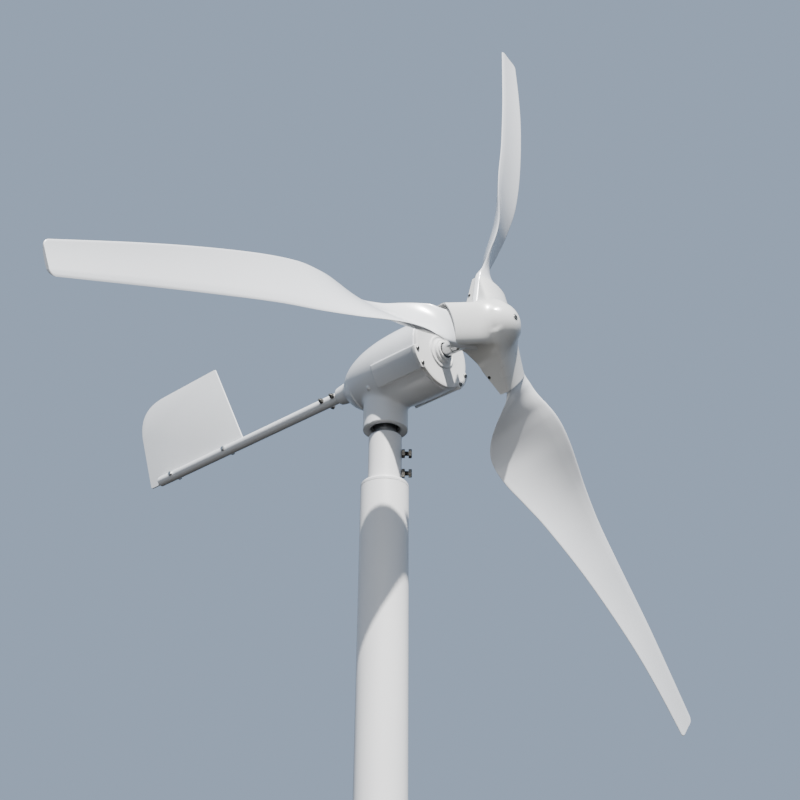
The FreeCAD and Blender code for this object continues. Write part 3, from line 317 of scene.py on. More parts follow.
def hexagon(flats, thick, bore=0.0, both=False):
    """A hexagon along +Z whose corners are cut back by the usual cone."""
    inner = flats / 2 * 0.96
    count = HEXAGON_POINTS
    rings = []
    kinds = ("foot", "low", "cone", "top") if both else ("flat", "cone", "top")
    for kind in kinds:
        row = []
        for k in range(count):
            angle = 2 * math.pi * k / count
            lean = (angle % (math.pi / 3)) - math.pi / 6
            reach = flats / 2 / math.cos(lean)
            drop = (reach - inner) * math.tan(math.radians(30))
            radius = inner if kind in ("top", "foot") else reach
            level = {"flat": 0.0, "foot": 0.0, "low": drop, "cone": thick - drop, "top": thick}[kind]
            row.append((radius * math.cos(angle), radius * math.sin(angle), level))
        rings.append(row)
    turns = [2 * math.pi * k / count for k in range(count)]
    for level in (thick, 0.0):
        rings.append([(bore * math.cos(turn), bore * math.sin(turn), level) for turn in turns])
    spots = [spot for row in rings for spot in row]
    faces = []
    total = len(rings)
    for i in range(total):
        j = (i + 1) % total
        for k in range(count):
            m = (k + 1) % count
            faces.append((i * count + k, i * count + m, j * count + m, j * count + k))
    return spots, faces


def thread(radius, low, high, pitch):
    """A threaded stud along +Z with a chamfered end."""
    corners = [(0.0, low, 0.0), (radius * 0.86, low, 0.0)]
    level = low
    while level + pitch < high - pitch * 0.6:
        corners.append((radius * 0.86, level + pitch * 0.15, 0.0))
        corners.append((radius, level + pitch * 0.5, 0.0))
        level += pitch
    corners.append((radius * 0.8, high, 0.0))
    corners.append((0.0, high, 0.0))
    return lathe(corners, "Z", 32, closed=False)


def islands(node):
    """The separate solids of a CAD node, as arrays of points in millimetres."""
    edit = bmesh.new()
    edit.from_mesh(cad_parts[node].data)
    bmesh.ops.remove_doubles(edit, verts=edit.verts, dist=1e-6)
    seen = set()
    found = []
    for start in edit.verts:
        if start.index in seen:
            continue
        seen.add(start.index)
        stack = [start]
        cluster = []
        while stack:
            vert = stack.pop()
            cluster.append(tuple(vert.co))
            for edge in vert.link_edges:
                other = edge.other_vert(vert)
                if other.index not in seen:
                    seen.add(other.index)
                    stack.append(other)
        found.append(np.array(cluster) / MM)
    edit.free()
    found.sort(key=lambda cloud: tuple(np.round(cloud.mean(axis=0), 3)))
    return found


def line_of(cloud, direction):
    """A point on a solid's own axis at each end: its start and end along a direction."""
    direction = np.array(direction, float)
    along = cloud @ direction
    across = cloud - np.outer(along, direction)
    centre = (across.max(axis=0) + across.min(axis=0)) / 2
    return centre + direction * along.min(), centre + direction * along.max()


# ---------------------------------------------------------------- distance fields

def soft_min(first, second, reach):
    """The lesser of two fields, blended where they are within reach of each other."""
    blend = np.clip(0.5 + 0.5 * (second - first) / reach, 0.0, 1.0)
    return second + (first - second) * blend - reach * blend * (1 - blend)


def soft_max(first, second, reach):
    return -soft_min(-first, -second, reach)


def slope(field, points):
    """Value and gradient of a field."""
    value = field(points)
    gradient = np.empty_like(points)
    for axis in range(3):
        step = np.zeros(3)
        step[axis] = 0.05
        gradient[:, axis] = (field(points + step) - field(points - step)) / 0.1
    return value, gradient


NET_ROUNDS = 4


def net(field, low, high, step):
    """Points and quads of a field's zero surface, eased and drawn back on to the surface."""
    axes = [np.arange(a, b + step, step) for a, b in zip(low, high)]
    shape = [len(axis) for axis in axes]
    grid = np.stack(np.meshgrid(*axes, indexing="ij"), -1).reshape(-1, 3)
    inside = (field(grid) < 0).reshape(shape)
    corners = np.zeros([count - 1 for count in shape], int)
    for i in (0, 1):
        for j in (0, 1):
            for k in (0, 1):
                corners += inside[i:shape[0] - 1 + i, j:shape[1] - 1 + j, k:shape[2] - 1 + k]
    mixed = (corners > 0) & (corners < 8)
    index = np.full(mixed.shape, -1)
    index[mixed] = np.arange(mixed.sum())
    points = np.array(low) + (np.argwhere(mixed) + 0.5) * step
    quads = []
    for axis in range(3):
        others = [a for a in range(3) if a != axis]
        first = np.take(inside, range(shape[axis] - 1), axis)
        second = np.take(inside, range(1, shape[axis]), axis)
        spots = np.argwhere(first != second)
        keep = np.ones(len(spots), bool)
        for a in others:
            keep &= (spots[:, a] > 0) & (spots[:, a] < shape[a] - 1)
        spots = spots[keep]
        leaving = first[tuple(spots.T)]
        cells = []
        for p, q in ((0, 0), (1, 0), (1, 1), (0, 1)):
            cell = spots.copy()
            cell[:, others[0]] -= p
            cell[:, others[1]] -= q
            cells.append(index[tuple(cell.T)])
        block = np.stack(cells, 1)
        flip = leaving if axis != 1 else ~leaving
        block[flip] = block[flip][:, ::-1]
        quads.append(block)
    quads = np.concatenate(quads)
    edges = np.concatenate([quads[:, (a, (a + 1) % 4)] for a in range(4)])
    for turn in range(NET_ROUNDS):
        total = np.zeros_like(points)
        count = np.zeros(len(points))
        for a, b in ((0, 1), (1, 0)):
            np.add.at(total, edges[:, a], points[edges[:, b]])
            np.add.at(count, edges[:, a], 1)
        if turn < NET_ROUNDS - 1:
            points = 0.5 * points + 0.5 * total / np.maximum(count, 1)[:, None]
        for _ in range(3):
            value, gradient = slope(field, points)
            size = np.maximum((gradient ** 2).sum(axis=1), 0.05)
            move = gradient * (value / size)[:, None]
            length = np.linalg.norm(move, axis=1)
            move *= np.minimum(1.0, step / np.maximum(length, 1e-9))[:, None]
            points = points - move
    return points, quads


def round_shape(across, along, size_across, size_along):
    """Distance to an ellipse of revolution, close to its surface."""
    first = np.sqrt((across / size_across) ** 2 + (along / size_along) ** 2)
    second = np.sqrt((across / size_across ** 2) ** 2 + (along / size_along ** 2) ** 2)
    return first * (first - 1) / np.maximum(second, 1e-6)


# ---------------------------------------------------------------- nacelle

EGG_RADIUS = 62.65
EGG_WIDEST = -75.0
EGG_LENGTH = 160.3
EGG_POWER = 2.49
COLUMN_RADIUS = 36.5
COLUMN_FOOT = -99.0
MOUTH_RADIUS = 24.5
PAD_RADIUS = 66.5
PAD_HALF = math.radians(17.5)
PAD_REAR = -25.0
NACELLE_WALL = 6.5
BEARING_SEAT_RADIUS = 26.2
YAW_HOUSING_RADIUS = 33.0
TAIL_CONE_START = 66.0
TAIL_CONE_RADII = (21.0, 15.3)
TAIL_CONE_RUN = 41.0
SPIGOT_RADIUS = 7.9
RIDGE_Y = 46.0
RIDGE_RADIUS = 1.7
NUB_SPOT = (-43.0, -2.0, -38.0)
NUB_RADIUS = 3.6
NACELLE_STEP = 1.6
TAIL_RISE = BOOM_Z - AXIS_Z


def egg_field(across, y):
    behind = np.maximum(y - EGG_WIDEST, 0.0) / EGG_LENGTH
    value = (across / EGG_RADIUS) ** 2 + behind ** EGG_POWER - 1
    slope_across = 2 * across / EGG_RADIUS ** 2
    slope_along = EGG_POWER * behind ** (EGG_POWER - 1) / EGG_LENGTH
    steep = np.sqrt(slope_across ** 2 + slope_along ** 2)
    front = np.maximum(EGG_WIDEST - y, 0.0)
    return value / np.maximum(steep, 0.006) + front * 0.03


def pad_field(x, y, z, across):
    angle = np.arctan2(z, x)
    nearest = np.full_like(x, 1e3)
    for lobe in LOBE_ANGLES:
        turn = np.abs((angle - math.radians(lobe) + math.pi) % (2 * math.pi) - math.pi)
        side = np.where(turn < math.pi / 2, np.sin(np.minimum(turn, 1.5) - PAD_HALF) * across, 1e3)
        pad = soft_max(across - PAD_RADIUS, side, 2.0)
        nearest = np.minimum(nearest, pad)
    return soft_max(nearest, y - PAD_REAR, 1.2)


def nacelle_field(points):
    x, y, z = points.T
    across = np.sqrt(x * x + z * z)
    egg = egg_field(across, y)
    body = soft_min(egg, pad_field(x, y, z, across), 1.4)
    upright = np.sqrt(x * x + y * y)
    column = soft_max(upright - COLUMN_RADIUS, z, 2.0)
    body = soft_min(body, column, 6.0)
    tail_across = np.sqrt(x * x + (z - TAIL_RISE) ** 2)
    wide, narrow = TAIL_CONE_RADII
    cone = (tail_across - (wide + (y - TAIL_CONE_START) * (narrow - wide) / TAIL_CONE_RUN)) * 0.99
    cone = soft_max(soft_max(cone, y - BOOM_FRONT, 1.5), 50.0 - y, 2.0)
    body = soft_min(body, cone, 5.0)
    # A low ridge runs round the underside of the tail end, and a small nub stands by the column.
    fade = 2.2 * np.clip((z + 32.0) / 24.0, 0.0, 1.0)
    ridge = np.sqrt((y - RIDGE_Y) ** 2 + (egg - 0.2) ** 2) - RIDGE_RADIUS + fade
    body = soft_min(body, ridge, 1.5)
    nub_x, nub_y, nub_z = NUB_SPOT
    nub = np.sqrt((x - nub_x) ** 2 + (y - nub_y) ** 2 + (z - nub_z) ** 2) - NUB_RADIUS
    body = soft_min(body, nub, 2.0)
    spigot = soft_max(tail_across - SPIGOT_RADIUS, np.abs(y - 125.0) - 30.0, 1.0)
    body = np.minimum(body, spigot)
    body = soft_max(body, COVER_REAR - y, 1.0)
    body = soft_max(body, COLUMN_FOOT - z, 1.2)
    # The hollow for the generator, with the yaw bearing housing left standing in it.
    hollow = soft_max(egg + NACELLE_WALL, np.abs(y + 30.0) - 100.0, 2.0)
    tower = soft_max(upright - YAW_HOUSING_RADIUS, z + 34.0, 2.0)
    hollow = soft_max(hollow, -tower, 2.0)
    mouth = soft_max(upright - MOUTH_RADIUS, z + 60.0, 1.0)
    flare = upright - (MOUTH_RADIUS + 2.0 - (z - COLUMN_FOOT) * 1.2)
    mouth = soft_min(mouth, soft_max(flare, z - COLUMN_FOOT - 9.0, 1.0), 1.0)
    seat = soft_max(upright - BEARING_SEAT_RADIUS, np.abs(z + 62.0) - 30.0, 1.0)
    body = soft_max(body, -hollow, 1.5)
    body = soft_max(body, -mouth, 1.0)
    return soft_max(body, -seat, 1.0)


def make_nacelle():
    step = NACELLE_STEP
    spots, quads = net(nacelle_field, (-72.0, -120.0, -104.0), (72.0, 160.0, 72.0), step)
    mesh = mesh_of("nacelle_casting", [(about_axis(spots), quads)])
    finished("nacelle_casting", mesh, paint, "yaw_head", ("nacelle_body",), 60.0)


# ---------------------------------------------------------------- front cover

COVER_RADIUS = 60.0
COVER_LOBE = 67.0
LOBE_BLEND = 3.0
COVER_INNER = 40.0


def cover_reach(angle):
    """Outline radius of the cover: a disc with three lobes for its screws."""
    reach = COVER_RADIUS
    for lobe in LOBE_ANGLES:
        turn = abs((angle - math.radians(lobe) + math.pi) % (2 * math.pi) - math.pi)
        edge = (PAD_HALF - turn) * COVER_LOBE / LOBE_BLEND + 0.5
        share = max(0.0, min(1.0, edge))
        reach += (COVER_LOBE - COVER_RADIUS) * share * share * (3 - 2 * share)
    return reach


COVER_PROFILE = [
    (20.6, COVER_REAR, 0.0), (20.6, COVER_FRONT + 6.0, 0.0), (13.0, COVER_FRONT + 6.0, 0.0),
    (13.0, COVER_FRONT - 3.4, 0.4), (15.6, COVER_FRONT - 3.4, 0.9), (16.2, COVER_FRONT, 0.6),
    (19.4, COVER_FRONT, 0.9), (20.6, COVER_PLATE - 2.4, 0.9), (23.6, COVER_PLATE - 1.4, 0.6),
    (24.6, COVER_PLATE - 2.4, 0.5), (27.4, COVER_PLATE - 2.2, 0.7), (28.0, COVER_PLATE, 0.5),
]


def make_cover():
    segments = 360
    inner = rounded(COVER_PROFILE + [(COVER_INNER, COVER_PLATE, 0.0)])
    spots = []
    rim = [(-1.4, 0.0), (-0.5, 0.35), (0.0, 1.3), (0.0, 5.9)]
    for k in range(segments):
        angle = 2 * math.pi * k / segments
        row = list(inner)
        reach = cover_reach(angle)
        face = reach - 1.4 - COVER_INNER
        row.extend((COVER_INNER + face * share, COVER_PLATE) for share in (0.25, 0.5, 0.75))
        row.extend((reach + inset, COVER_PLATE + back) for inset, back in rim)
        row.append((57.0, COVER_REAR))
        spots.extend((r * math.cos(angle), y, r * math.sin(angle)) for r, y in row)
    count = len(spots) // segments
    faces = []
    for k in range(segments):
        following = (k + 1) % segments
        for i in range(count):
            j = (i + 1) % count
            faces.append((k * count + i, k * count + j, following * count + j, following * count + i))
    mesh = mesh_of("cover_plate", [(about_axis(spots), faces)])
    finished("cover_plate", mesh, powder, "yaw_head", ("front_cover",), 32.0)


SOCKET_HEAD = [
    (0.0, 0.4, 0.0), (1.5, 0.4, 0.0), (1.6, 2.3, 0.0), (2.4, 2.35, 0.4), (3.2, 1.7, 0.5), (3.6, 0.5, 0.3),
    (3.6, 0.0, 0.0), (1.9, 0.0, 0.0), (1.9, -14.0, 0.0), (0.0, -14.0, 0.0),
]


def make_cover_screws():
    parts = []
    for cloud in islands("cover_screws"):
        front, _ = line_of(cloud, (0, 1, 0))
        part = lathe(SOCKET_HEAD, "Z", 30, closed=False)
        parts.append(aimed(part, (front[0], COVER_PLATE, front[2]), (0, -1, 0)))
    mesh = mesh_of("cover_socket_screws", [(from_foot(spots), faces) for spots, faces in parts])
    finished("cover_socket_screws", mesh, zinc_dull, "yaw_head", ("cover_screws",))


# ---------------------------------------------------------------- nose cone

NOSE_DATUM = -271.0
NOSE_SKIN = 1.6
DOME_RADIUS = 45.6
DOME_DEPTH = 56.0
ARM_HALF = 33.8
ARM_SHIFT = 2.6
ARM_END = 94.0
ARM_SET_BACK = 11.0
ARM_SLOPE = 0.46
ARM_SHOULDER = 12.0
ARM_BULGE = 0.0007
RIM_START = 50.0
RIM_RAKE = 0.2


def nose_field(points):
    """A dome with three arms, each a rounded bar that falls back as it runs outwards."""
    x, y, z = points.T
    depth = y - NOSE_DATUM
    across = np.sqrt(x * x + z * z)
    dome = np.where(depth < DOME_DEPTH, round_shape(across, DOME_DEPTH - depth, DOME_RADIUS, DOME_DEPTH),
                    across - DOME_RADIUS)
    body = dome
    for angle in BLADE_ANGLES:
        cos = math.cos(math.radians(angle))
        sin = math.sin(math.radians(angle))
        along = x * cos + z * sin
        side = np.abs(-x * sin + z * cos + ARM_SHIFT)
        behind = depth - (ARM_SET_BACK + ARM_SLOPE * along - ARM_BULGE * along * along)
        arm = np.where(behind < ARM_SHOULDER,
                       round_shape(side, ARM_SHOULDER - behind, ARM_HALF, ARM_SHOULDER),
                       side - ARM_HALF + 0.1 * (behind - ARM_SHOULDER))
        arm = soft_max(arm, -along, 6.0)
        outward = np.clip((across - 22.0) / 36.0, 0.0, 1.0)
        body = soft_min(body, arm, 5.0 + 7.0 * outward * outward * (3 - 2 * outward))
    return body


def bisected(mesh, planes):
    """Cuts a mesh by planes given as (point, outward normal) and drops what is outside."""
    edit = bmesh.new()
    edit.from_mesh(mesh)
    for point, normal in planes:
        everything = list(edit.verts) + list(edit.edges) + list(edit.faces)
        bmesh.ops.bisect_plane(edit, geom=everything, plane_co=point, plane_no=normal, dist=1e-6,
                               clear_outer=True)
    edit.to_mesh(mesh)
    edit.free()


def thickened(name, mesh, thick):
    """Gives a surface its wall with a solidify modifier, and applies it."""
    holder = bpy.data.objects.new(name, mesh)
    bpy.context.scene.collection.objects.link(holder)
    wall = holder.modifiers.new("wall", "SOLIDIFY")
    wall.thickness = thick
    wall.offset = -1.0
    made = bpy.data.meshes.new_from_object(holder.evaluated_get(bpy.context.evaluated_depsgraph_get()))
    bpy.data.objects.remove(holder)
    return made


def make_nose():
    spots, quads = net(nose_field, (-126.0, -275.0, -106.0), (116.0, -182.0, 124.0), 2.0)
    mesh = mesh_of("nose_skin", [(about_axis(spots), quads)])
    planes = [(Vector((0, NOSE_REAR * MM, 0)), Vector((0, 1, 0)))]
    for angle in BLADE_ANGLES:
        out = Vector((math.cos(math.radians(angle)), 0, math.sin(math.radians(angle))))
        planes.append((out * ARM_END * MM + Vector((0, 0, AXIS_Z * MM)), out))
        raked = (out * RIM_RAKE + Vector((0, 1, 0))).normalized()
        planes.append((out * RIM_START * MM + Vector((0, NOSE_REAR * MM, AXIS_Z * MM)), raked))
    bisected(mesh, planes)
    edit = bmesh.new()
    edit.from_mesh(mesh)
    bmesh.ops.recalc_face_normals(edit, faces=edit.faces)
    centre = Vector((0, (NOSE_DATUM + 60) * MM, AXIS_Z * MM))
    front = min(edit.faces, key=lambda face: face.calc_center_median().y)
    if front.normal.dot(front.calc_center_median() - centre) < 0:
        bmesh.ops.reverse_faces(edit, faces=edit.faces)
    # The tip is open for its screw.
    near = [v for v in edit.verts if math.hypot(v.co.x, v.co.z - AXIS_Z * MM) < 4.6 * MM]
    bmesh.ops.delete(edit, geom=near, context="VERTS")
    for vert in edit.verts:
        reach = math.hypot(vert.co.x, vert.co.z - AXIS_Z * MM)
        if vert.is_boundary and reach < 9 * MM:
            vert.co.x *= 5.6 * MM / reach
            vert.co.z = AXIS_Z * MM + (vert.co.z - AXIS_Z * MM) * 5.6 * MM / reach
    edit.to_mesh(mesh)
    edit.free()
    walled = thickened("nose_skin", mesh, NOSE_SKIN * MM)
    finished("nose_cone_shell", walled, shell, "rotor", ("nose_cone",), 50.0)


NOSE_HEAD = [
    (0.0, 0.6, 0.0), (1.9, 0.6, 0.0), (2.1, 2.2, 0.0), (3.2, 2.3, 0.5), (4.7, 1.6, 0.6), (5.0, 0.4, 0.3),
    (5.0, 0.0, 0.0), (2.9, -0.4, 0.0), (2.9, -46.0, 0.0), (0.0, -46.0, 0.0),
]


def make_nose_screw():
    part = aimed(lathe(NOSE_HEAD, "Z", 40, closed=False), (0, NOSE_DATUM + 1.5, AXIS_Z), (0, -1, 0))
    cup = lathe(ring(4.9, 6.4, NOSE_DATUM + 0.4, NOSE_DATUM + 5.0, 0.4), "Y", 48)
    mesh = mesh_of("nose_socket_screw", [(from_foot(part[0]), part[1])])
    finished("nose_socket_screw", mesh, zinc_dull, "rotor", ("nose_screw",))
    mesh = mesh_of("nose_screw_cup", [(about_axis(cup[0]), cup[1])])
    finished("nose_screw_cup", mesh, shell, "rotor")


def wall_spot(angle, along, sign, y):
    """Where the side wall of a nose arm stands, at a distance along it and at a depth."""
    cos = math.cos(math.radians(angle))
    sin = math.sin(math.radians(angle))
    sides = np.linspace(60.0, 20.0, 161) * sign
    points = np.stack([along * cos - sides * sin, np.full_like(sides, y), along * sin + sides * cos], axis=1)
    inside = int(np.argmax(nose_field(points) < 0.0))
    return points[inside], (-sin * sign, 0.0, cos * sign)


SIDE_HEAD = [
    (0.0, 0.3, 0.0), (1.1, 0.3, 0.0), (1.3, 1.3, 0.0), (2.2, 1.2, 0.4), (2.6, 0.3, 0.2), (2.6, 0.0, 0.0),
    (1.4, -0.3, 0.0), (1.4, -9.0, 0.0), (0.0, -9.0, 0.0),
]


def make_side_screws():
    parts = []
    for angle in BLADE_ANGLES:
        for sign in (1, -1):
            spot, out = wall_spot(angle, 62.0, sign, NOSE_REAR - 6.0)
            part = lathe(SIDE_HEAD, "Z", 24, closed=False)
            parts.append(aimed(part, (spot[0], spot[1], spot[2] + AXIS_Z), out))
    mesh = mesh_of("nose_side_screws", [(from_foot(spots), faces) for spots, faces in parts])
    finished("nose_side_screws", mesh, dark_steel, "rotor")


# ---------------------------------------------------------------- blades

BLADE_PLANE = -171.4
BLADE_TIP = 748.0
BLADE_ROOT = 24.0
BLADE_THICK = (8.5, 3.4)
BLADE_CAMBER = 0.045
TAB_HALF = 4.2
TAB_DROP = 7.5
TAB_END = 111.0
TAB_FADE = 17.0
# Radius, side place and forward place of the thick edge, chord, and pitch in degrees.
BLADE_STATIONS = [
    (90.0, -33.4, 44.6, 60.0, 0.2),
    (97.0, -32.4, 44.8, 61.0, 3.5),
    (105.0, -30.6, 44.8, 66.0, 10.0),
    (120.0, -27.6, 46.4, 77.0, 24.0),
    (135.0, -25.5, 50.0, 91.0, 35.5),
    (152.0, -25.0, 55.0, 108.0, 44.0),
    (172.0, -23.5, 60.0, 123.0, 48.5),
    (195.0, -21.0, 62.0, 128.0, 49.5),
    (225.0, -17.5, 60.0, 123.0, 46.0),
    (260.0, -14.5, 54.0, 111.0, 39.0),
    (300.0, -12.0, 46.0, 99.5, 29.5),
    (360.0, -8.0, 37.5, 89.0, 18.5),
    (440.0, -3.5, 32.0, 77.0, 12.0),
    (560.0, -2.0, 22.5, 64.0, 5.5),
    (650.0, -1.0, 13.0, 55.0, 3.0),
    (748.0, 0.0, 2.0, 45.5, 3.5),
]
TIP_CORNER = 7.0


def station_at(radius):
    """Eases between the stations: side place, forward place, chord and pitch at a radius."""
    rows = BLADE_STATIONS
    low = 0
    while low < len(rows) - 2 and rows[low + 1][0] <= radius:
        low += 1
    before = rows[max(low - 1, 0)]
    start = rows[low]
    end = rows[low + 1]
    after = rows[min(low + 2, len(rows) - 1)]
    length = end[0] - start[0]
    share = (radius - start[0]) / length
    values = []
    for column in range(1, 5):
        left = (end[column] - before[column]) / (end[0] - before[0]) * length
        right = (after[column] - start[column]) / (after[0] - start[0]) * length
        values.append((2 * share ** 3 - 3 * share ** 2 + 1) * start[column]
                      + (share ** 3 - 2 * share ** 2 + share) * left
                      + (3 * share ** 2 - 2 * share ** 3) * end[column]
                      + (share ** 3 - share ** 2) * right)
    return values


def section(radius, shares):
    """Front and back points of the blade at a radius, as (across, forward)."""
    first = BLADE_STATIONS[0][0]
    side, forward, chord, pitch = station_at(max(radius, first))
    grown = max(0.0, (radius - first) / (BLADE_TIP - first))
    thick = BLADE_THICK[0] + (BLADE_THICK[1] - BLADE_THICK[0]) * grown ** 0.8
    camber = BLADE_CAMBER * min(1.0, max(0.0, radius - first) / 60.0)
    rest = BLADE_TIP - radius
    start = 0.0
    length = chord
    if rest < TIP_CORNER:
        start = TIP_CORNER - math.sqrt(TIP_CORNER ** 2 - (TIP_CORNER - rest) ** 2)
        length = chord - 2 * start
    angle = math.radians(pitch)
    tab = max(0.0, min(1.0, (TAB_END - radius) / TAB_FADE))
    tab = tab * tab * (3 - 2 * tab)
    faces = ([], [])
    for share in shares:
        place = (start + share * length) / chord
        body = 2.6 * math.sqrt(place) * (1 - place) + 0.55 * place * (1 - place)
        half = thick / 2 * body / 1.12 + 0.8 * min(1.0, place * 6)
        edge = 1.0 - min(1.0, min(share, 1 - share) * length / 3.0)
        half *= math.sqrt(max(0.0, 1 - edge * edge)) if share not in (0.0, 1.0) else 0.0
        flat = TAB_HALF * (1 - abs(2 * share - 1) ** 16) ** 0.5
        half = half * (1 - tab) + flat * tab
        drop = TAB_DROP * (1 - math.sqrt(max(0.0, 1 - (2 * share - 1) ** 2)))
        bow = -4 * camber * chord * place * (1 - place)
        for face, sign in zip(faces, (1, -1)):
            lift = bow + sign * half - tab * drop
            across = side + math.cos(angle) * place * chord + math.sin(angle) * lift
            ahead = forward - math.sin(angle) * place * chord + math.cos(angle) * lift
            face.append((across, ahead))
    return faces


def blade_part(angle):
    count = 40
    shares = [(1 - math.cos(math.pi * k / count)) / 2 for k in range(count + 1)]
    radii = list(np.linspace(BLADE_ROOT, 88.0, 6)) + list(np.arange(90.0, 250.0, 3.0))
    radii += list(np.arange(252.0, BLADE_TIP - TIP_CORNER, 8.0))
    radii += [BLADE_TIP - TIP_CORNER * (1 - math.sin(math.pi / 2 * k / 8)) for k in range(9)]
    cos = math.cos(math.radians(angle))
    sin = math.sin(math.radians(angle))
    spots = []
    loop = 2 * count
    for radius in radii:
        front, back = section(radius, shares)
        for across, ahead in front + back[-2:0:-1]:
            spots.append((radius * cos + across * sin, BLADE_PLANE - ahead, radius * sin - across * cos))
    faces = []
    for i in range(len(radii) - 1):
        for k in range(loop):
            m = (k + 1) % loop
            faces.append((i * loop + k, i * loop + m, (i + 1) * loop + m, (i + 1) * loop + k))
    for base in (0, (len(radii) - 1) * loop):
        for k in range(count):
            before = base + (loop - k) % loop
            after = base + loop - k - 1
            corners = [base + k, base + k + 1, after, before]
            unique = [c for n, c in enumerate(corners) if c not in corners[:n]]
            if len(unique) > 2:
                faces.append(tuple(unique))
    return about_axis(spots), faces


def make_blades():
    for k, angle in enumerate(BLADE_ANGLES):
        mesh = mesh_of("twisted_blade_%d" % (k + 1), [blade_part(angle)])
        finished("twisted_blade_%d" % (k + 1), mesh, gelcoat, "rotor",
                 ("blade_%d" % (k + 1),), 50.0)


# ---------------------------------------------------------------- mast

def turned(name, corners, axis, material, body, node, segments, place=from_foot):
    """A turned piece that stands for a CAD node."""
    spots, faces = lathe(corners, axis, segments)
    mesh = mesh_of(name, [(place(spots), faces)])
    return finished(name, mesh, material, body, (node,), 30.0)


POLE_WALL = 3.0
STUB_RADIUS = 24.2
SLEEVE_BORE = 24.35
SPINDLE_HOLE = 14.95


def make_mast():
    bore = POLE_RADIUS - POLE_WALL
    tube = [(bore, 0.0, 0.5), (POLE_RADIUS, 0.0, 0.5), (POLE_RADIUS, POLE_TOP - 0.35, 0.3),
            (bore, POLE_TOP - 0.35, 0.0)]
    collar = [
        (STUB_RADIUS, POLE_TOP - 30.0, 0.0), (bore - 0.05, POLE_TOP - 30.0, 0.0),
        (bore - 0.05, POLE_TOP, 0.0),
        (POLE_RADIUS, POLE_TOP, 0.5), (POLE_RADIUS, COLLAR_TOP - 3.6, 1.8),
        (POLE_RADIUS - 2.6, COLLAR_TOP - 0.6, 1.6), (SLEEVE_RADIUS + 3.0, COLLAR_TOP - 0.1, 0.8),
        (STUB_RADIUS, COLLAR_TOP - 0.1, 0.0),
    ]
    sleeve = [
        (SLEEVE_BORE, COLLAR_TOP, 0.0), (SLEEVE_RADIUS + 1.6, COLLAR_TOP, 0.6),
        (SLEEVE_RADIUS + 0.2, COLLAR_TOP + 2.2, 1.6), (SLEEVE_RADIUS, COLLAR_TOP + 6.0, 0.0),
        (SLEEVE_RADIUS, SLEEVE_TOP - 3.0, 1.6), (SLEEVE_RADIUS - 2.6, SLEEVE_TOP, 1.6),
        (SPINDLE_HOLE, SLEEVE_TOP, 0.4), (SPINDLE_HOLE, SLEEVE_TOP - 8.0, 0.0),
        (SLEEVE_BORE, SLEEVE_TOP - 8.0, 0.0),
    ]
    for name, corners, node in (("mast_tube", tube, "mast_pole"), ("mast_collar", collar, "pole_top_collar"),
                                ("clamp_sleeve", sleeve, "mounting_sleeve")):
        turned(name, corners, "Z", pole_paint, "mast", node, 160)


def make_neck():
    foot = SLEEVE_TOP
    corners = [
        (8.0, foot - 8.0, 0.0), (14.9, foot - 8.0, 0.0), (14.9, foot + 0.1, 0.0), (17.7, foot + 0.1, 0.5),
        (17.7, foot + 5.0, 0.4), (16.9, foot + 5.6, 0.2), (16.9, foot + 6.8, 0.2), (17.7, foot + 7.4, 0.4),
        (17.7, foot + 18.0, 0.4), (12.5, foot + 18.0, 0.0), (12.5, foot + 65.0, 0.0),
        (12.0, foot + 65.0, 0.0),
        (12.0, foot + 74.0, 0.8), (8.0, foot + 74.0, 0.0),
    ]
    turned("yaw_neck", corners, "Z", ground, "mast", "yaw_spindle", 96)


def make_clamp_bolts():
    bolts = []
    nuts = []
    pairs = zip(islands("sleeve_clamp_bolts"), islands("sleeve_lock_nuts"))
    for k, (cloud, nut_cloud) in enumerate(pairs):
        middle_point = (cloud.max(axis=0) + cloud.min(axis=0)) / 2
        out = np.array((middle_point[0], middle_point[1], 0.0))
        out /= np.linalg.norm(out)
        inner, outer = line_of(cloud, out)
        bolts.append(aimed(hexagon(13.0, 5.3), outer - out * 5.3, out, 0.35 + 0.5 * k))
        bolts.append(aimed(thread(3.95, 0.0, np.linalg.norm(outer - inner) - 5.0, 1.25), inner, out))
        seat, _ = line_of(nut_cloud, out)
        nuts.append(aimed(hexagon(13.0, 5.0, 3.9, True), seat, out, 0.15 + 0.6 * k))
    for name, parts, node in (("clamp_hex_bolts", bolts, "sleeve_clamp_bolts"),
                              ("clamp_hex_nuts", nuts, "sleeve_lock_nuts")):
        mesh = mesh_of(name, [(from_foot(spots), faces) for spots, faces in parts])
        finished(name, mesh, dark_steel, "mast", (node,), 28.0)


# ---------------------------------------------------------------- shaft and hub

def make_shaft_parts():
    front = low_mm("shaft_spacer", 1)
    rear = high_mm("shaft_spacer", 1)
    turned("shaft_collar", [
        (8.6, rear, 0.0), (11.0, rear, 0.3), (11.0, front + 34.0, 0.4), (10.4, front + 33.0, 0.2),
        (10.4, front + 31.5, 0.2), (11.0, front + 30.5, 0.4), (11.0, front + 6.0, 0.5),
        (9.6, front + 4.5, 0.4), (9.6, front, 0.4), (8.6, front, 0.0),
    ], "Y", alloy, "rotor", "shaft_spacer", 72, about_axis)
    face = low_mm("shaft_seal", 1)
    back = high_mm("shaft_seal", 1)
    turned("lip_seal", [
        (11.1, back, 0.0), (12.9, back, 0.0), (12.9, face + 1.6, 0.3), (12.0, face + 1.2, 0.3),
        (11.6, face + 2.4, 0.2), (11.2, face + 1.6, 0.1),
    ], "Y", rubber, "yaw_head", "shaft_seal", 72, about_axis)


